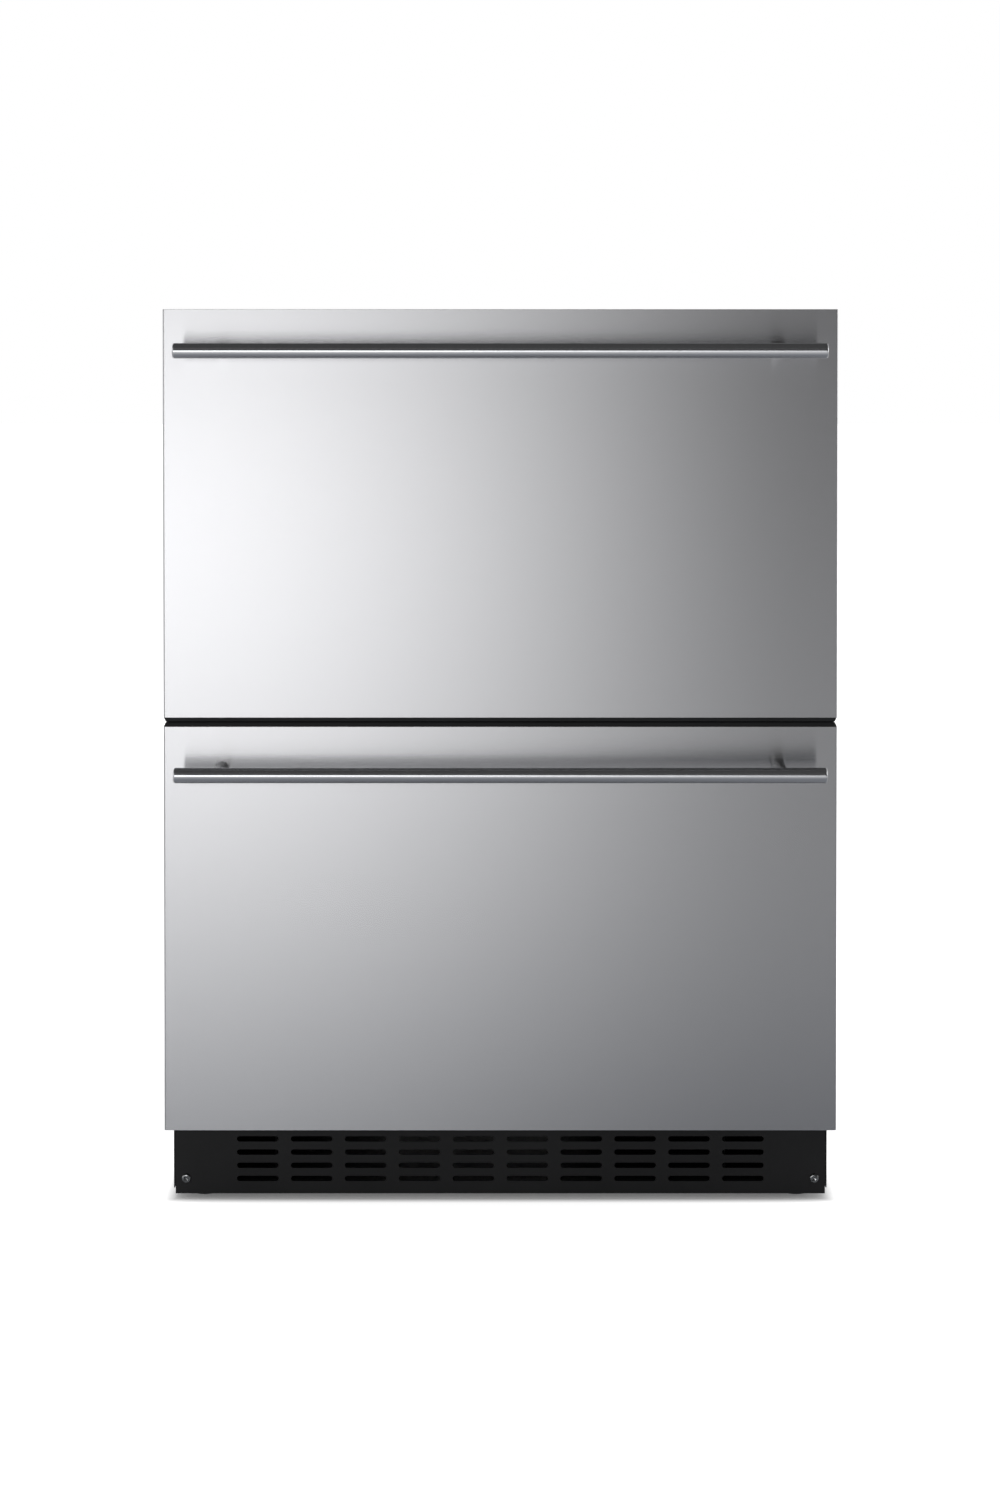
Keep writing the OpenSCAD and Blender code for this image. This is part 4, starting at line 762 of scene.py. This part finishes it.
def lamp(name, place, target, size, radiance, glossy):
    """A rectangular softbox; its power in watts is its radiance times pi times its area."""
    data = bpy.data.lights.new(name, "AREA")
    data.shape, data.size, data.size_y = "RECTANGLE", *size
    data.energy = radiance * math.pi * size[0] * size[1]
    made = bpy.data.objects.new(name, data)
    bpy.context.scene.collection.objects.link(made)
    made.location = place
    made.rotation_euler = (Vector(target) - Vector(place)).to_track_quat("-Z", "Y").to_euler()
    made.visible_camera = False
    made.visible_glossy = glossy
    return data


def stage_lamps():
    """Key softbox in front on the left, which fades out to the right and a little at its left end,
    soft boxes overhead and behind, and one on the right for the side's gloss."""
    key_x, key_z = -0.475, 0.52
    key = lamp("key_softbox", (key_x, -2.9, key_z), (key_x, 0, key_z), (2.85, 0.94), 2.65, True)
    key.use_nodes = True
    tree = key.node_tree
    tree.nodes.clear()
    place = add(tree, "ShaderNodeNewGeometry").outputs["Parametric"]
    across = add(tree, "ShaderNodeSeparateXYZ", {0: place}).outputs["X"]
    fade = add(tree, "ShaderNodeMapRange", {
        "Value": across, "From Min": 0.43, "From Max": 0.89, "To Min": 1.0, "To Max": 0.0},
        interpolation_type="SMOOTHSTEP").outputs[0]
    edge = add(tree, "ShaderNodeMapRange", {
        "Value": across, "From Min": 0.0, "From Max": 0.44, "To Min": 0.55, "To Max": 1.0},
        interpolation_type="SMOOTHSTEP").outputs[0]
    both = add(tree, "ShaderNodeMath", {0: fade, 1: edge}, operation="MULTIPLY")
    glow = add(tree, "ShaderNodeEmission", {"Strength": both.outputs[0]})
    add(tree, "ShaderNodeOutputLight", {"Surface": glow.outputs[0]})
    lamp("overhead_softbox", (0, -0.6, 2.6), (0, 0, 0.4), (2.4, 2.0), 0.9, False)
    lamp("rear_softbox", (0.6, 2.4, 1.9), (0, 0, 0.4), (2.0, 1.4), 0.6, False)
    lamp("side_softbox", (3.2, 0.5, 1.1), (0, 0, 0.5), (1.8, 1.5), 1.3, True)


def stage_camera():
    """Camera at the photograph's place: 0.77 m up, 2.57 m in front of the drawer faces, and tilted
    down by 1.25 degrees, with the frame shifted down as the photograph's is."""
    height, distance, aside, tilt = 0.770, 2.572, -0.00027, 1.246
    face = corners("upper_front_skin")[0][1]
    data = bpy.data.cameras.new("camera")
    data.lens, data.sensor_width = 69.5, 36.0
    data.shift_y = -0.2203
    made = bpy.data.objects.new("camera", data)
    bpy.context.scene.collection.objects.link(made)
    made.location = (aside, face - distance, height)
    made.rotation_euler = (math.radians(90 - tilt), 0, 0)
    bpy.context.scene.camera = made


# ---- Add-on --------------------------------------------------------------------------------------

class FridgeSizes(bpy.types.PropertyGroup):
    """Sizes that the frame leaves open"""
    skin_bend: FloatProperty(name="Skin bend", description="Outside radius of the skins' bends",
                             default=1.6 * MM, min=1.2 * MM, max=4 * MM, unit="LENGTH")
    sheet_ease: FloatProperty(name="Sheet edge", description="Rounding of a sheet's cut edges",
                              default=0.25 * MM, min=0.05 * MM, max=0.45 * MM, unit="LENGTH")
    bar_end: FloatProperty(name="Bar end", description="Radius round the ends of the handle bars",
                           default=1.8 * MM, min=0.5 * MM, max=4 * MM, unit="LENGTH")
    cap_lip: FloatProperty(name="Cap lip", description="How far a cap's lip stands into the gap",
                           default=3.6 * MM, min=1 * MM, max=3.7 * MM, unit="LENGTH")


def colour_property(name, description, code):
    """A colour setting whose default is an sRGB hex value."""
    return FloatVectorProperty(name=name, description=description, subtype="COLOR", size=4,
                               min=0, max=1, default=hex_colour(code))


class FridgeColours(bpy.types.PropertyGroup):
    """Colours of the finishes"""
    steel: colour_property("Skin", "Brushed stainless sheet", "C7C7C9")
    bar: colour_property("Bars", "Ground stainless rod", "D4D5D8")
    black_paint: colour_property("Black paint", "Powder coat, coil coat and enamel", "1F1F20")
    zinc: colour_property("Zinc", "Plated and galvanised steel", "CCD0D3")
    nickel: colour_property("Screws", "Nickel plating", "A3A4A5")
    liner: colour_property("Liner", "White polystyrene", "E9ECEC")
    black_plastic: colour_property("Caps", "Black ABS", "18191A")
    bin: colour_property("Bins", "Grey polystyrene", "C3C8CC")
    divider: colour_property("Dividers", "Clear plastic", "EAF4F6")
    foam: colour_property("Foam", "Polyurethane foam", "E2D3A0")
    gasket: colour_property("Gaskets", "Soft PVC", "3E4042")
    rubber: colour_property("Rubber", "EPDM rubber", "131313")
    aluminium: colour_property("Fins", "Aluminium", "D3D6D8")
    copper: colour_property("Tubes", "Copper", "C07850")
    window: colour_property("Window", "Smoked acrylic", "0A1013")
    opal: colour_property("Diffuser", "Opal acrylic", "F2F3F0")


class FRIDGE_OT_fronts(bpy.types.Operator):
    """Folds the stainless skins and moulds the end caps and gaskets of both drawer fronts"""
    bl_idname = "fridge.fronts"
    bl_label = "Drawer fronts"

    def execute(self, context):
        for drawer in DRAWERS:
            drawer_skin(drawer, context.scene.fridge_sizes)
            end_caps(drawer, context.scene.fridge_sizes)
            gasket(drawer)
        return {"FINISHED"}


class FRIDGE_OT_handles(bpy.types.Operator):
    """Turns the handle bars and saddles their posts to them"""
    bl_idname = "fridge.handles"
    bl_label = "Handles"

    def execute(self, context):
        for drawer in DRAWERS:
            handle(drawer, context.scene.fridge_sizes)
        return {"FINISHED"}


class FRIDGE_OT_casing(bpy.types.Operator):
    """Folds the side and top panels"""
    bl_idname = "fridge.casing"
    bl_label = "Casing"

    def execute(self, context):
        for side in ("left", "right"):
            side_casing(side, context.scene.fridge_sizes)
        top_casing(context.scene.fridge_sizes)
        return {"FINISHED"}


class FRIDGE_OT_fasteners(bpy.types.Operator):
    """Makes the screw heads"""
    bl_idname = "fridge.fasteners"
    bl_label = "Screws"

    def execute(self, context):
        screw_heads()
        return {"FINISHED"}


class FRIDGE_OT_feet(bpy.types.Operator):
    """Makes the four levelling feet"""
    bl_idname = "fridge.feet"
    bl_label = "Feet"

    def execute(self, context):
        for place in ("front_left", "front_right", "rear_left", "rear_right"):
            levelling_foot(f"{place}_foot")
        return {"FINISHED"}


class FRIDGE_OT_own_shapes(bpy.types.Operator):
    """Finishes every node that keeps its own shape and eases the edges of those listed in EASED"""
    bl_idname = "fridge.own_shapes"
    bl_label = "Inner parts"

    def execute(self, context):
        for maker, nodes in OWN_SHAPE.items():
            for node in nodes:
                dress(node, maker)
        for node, width_mm in EASED.items():
            ease_edges(node, width_mm)
        return {"FINISHED"}


class FRIDGE_OT_stage(bpy.types.Operator):
    """Sets the floor, the world, the lamps and the camera"""
    bl_idname = "fridge.stage"
    bl_label = "Stage"

    def execute(self, context):
        stage_floor()
        stage_world()
        stage_lamps()
        stage_camera()
        context.scene.view_settings.view_transform = "Standard"
        return {"FINISHED"}


STEPS = (FRIDGE_OT_fronts, FRIDGE_OT_handles, FRIDGE_OT_casing, FRIDGE_OT_fasteners, FRIDGE_OT_feet,
         FRIDGE_OT_own_shapes, FRIDGE_OT_stage)


class FRIDGE_PT_panel(bpy.types.Panel):
    """Sidebar panel with the sizes, the colours and the steps"""
    bl_idname = "FRIDGE_PT_panel"
    bl_label = "Drawer refrigerator"
    bl_space_type = "VIEW_3D"
    bl_region_type = "UI"
    bl_category = "Refrigerator"

    def draw(self, context):
        for group in (context.scene.fridge_sizes, context.scene.fridge_colours):
            for name in group.bl_rna.properties.keys():
                if name not in ("rna_type", "name"):
                    self.layout.prop(group, name)
        for step in STEPS:
            self.layout.operator(step.bl_idname)


CLASSES = (FridgeSizes, FridgeColours, *STEPS, FRIDGE_PT_panel)


def register():
    """Registers the classes and hangs the settings on the scene."""
    for cls in CLASSES:
        bpy.utils.register_class(cls)
    bpy.types.Scene.fridge_sizes = PointerProperty(type=FridgeSizes)
    bpy.types.Scene.fridge_colours = PointerProperty(type=FridgeColours)


def unregister():
    """Takes the settings and the classes away again."""
    del bpy.types.Scene.fridge_sizes
    del bpy.types.Scene.fridge_colours
    for cls in reversed(CLASSES):
        bpy.utils.unregister_class(cls)


def main():
    """Runs the operators in order."""
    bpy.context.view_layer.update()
    register()
    for step in STEPS:
        area, action = step.bl_idname.split(".")
        getattr(getattr(bpy.ops, area), action)()


if __name__ == "__main__":
    main()
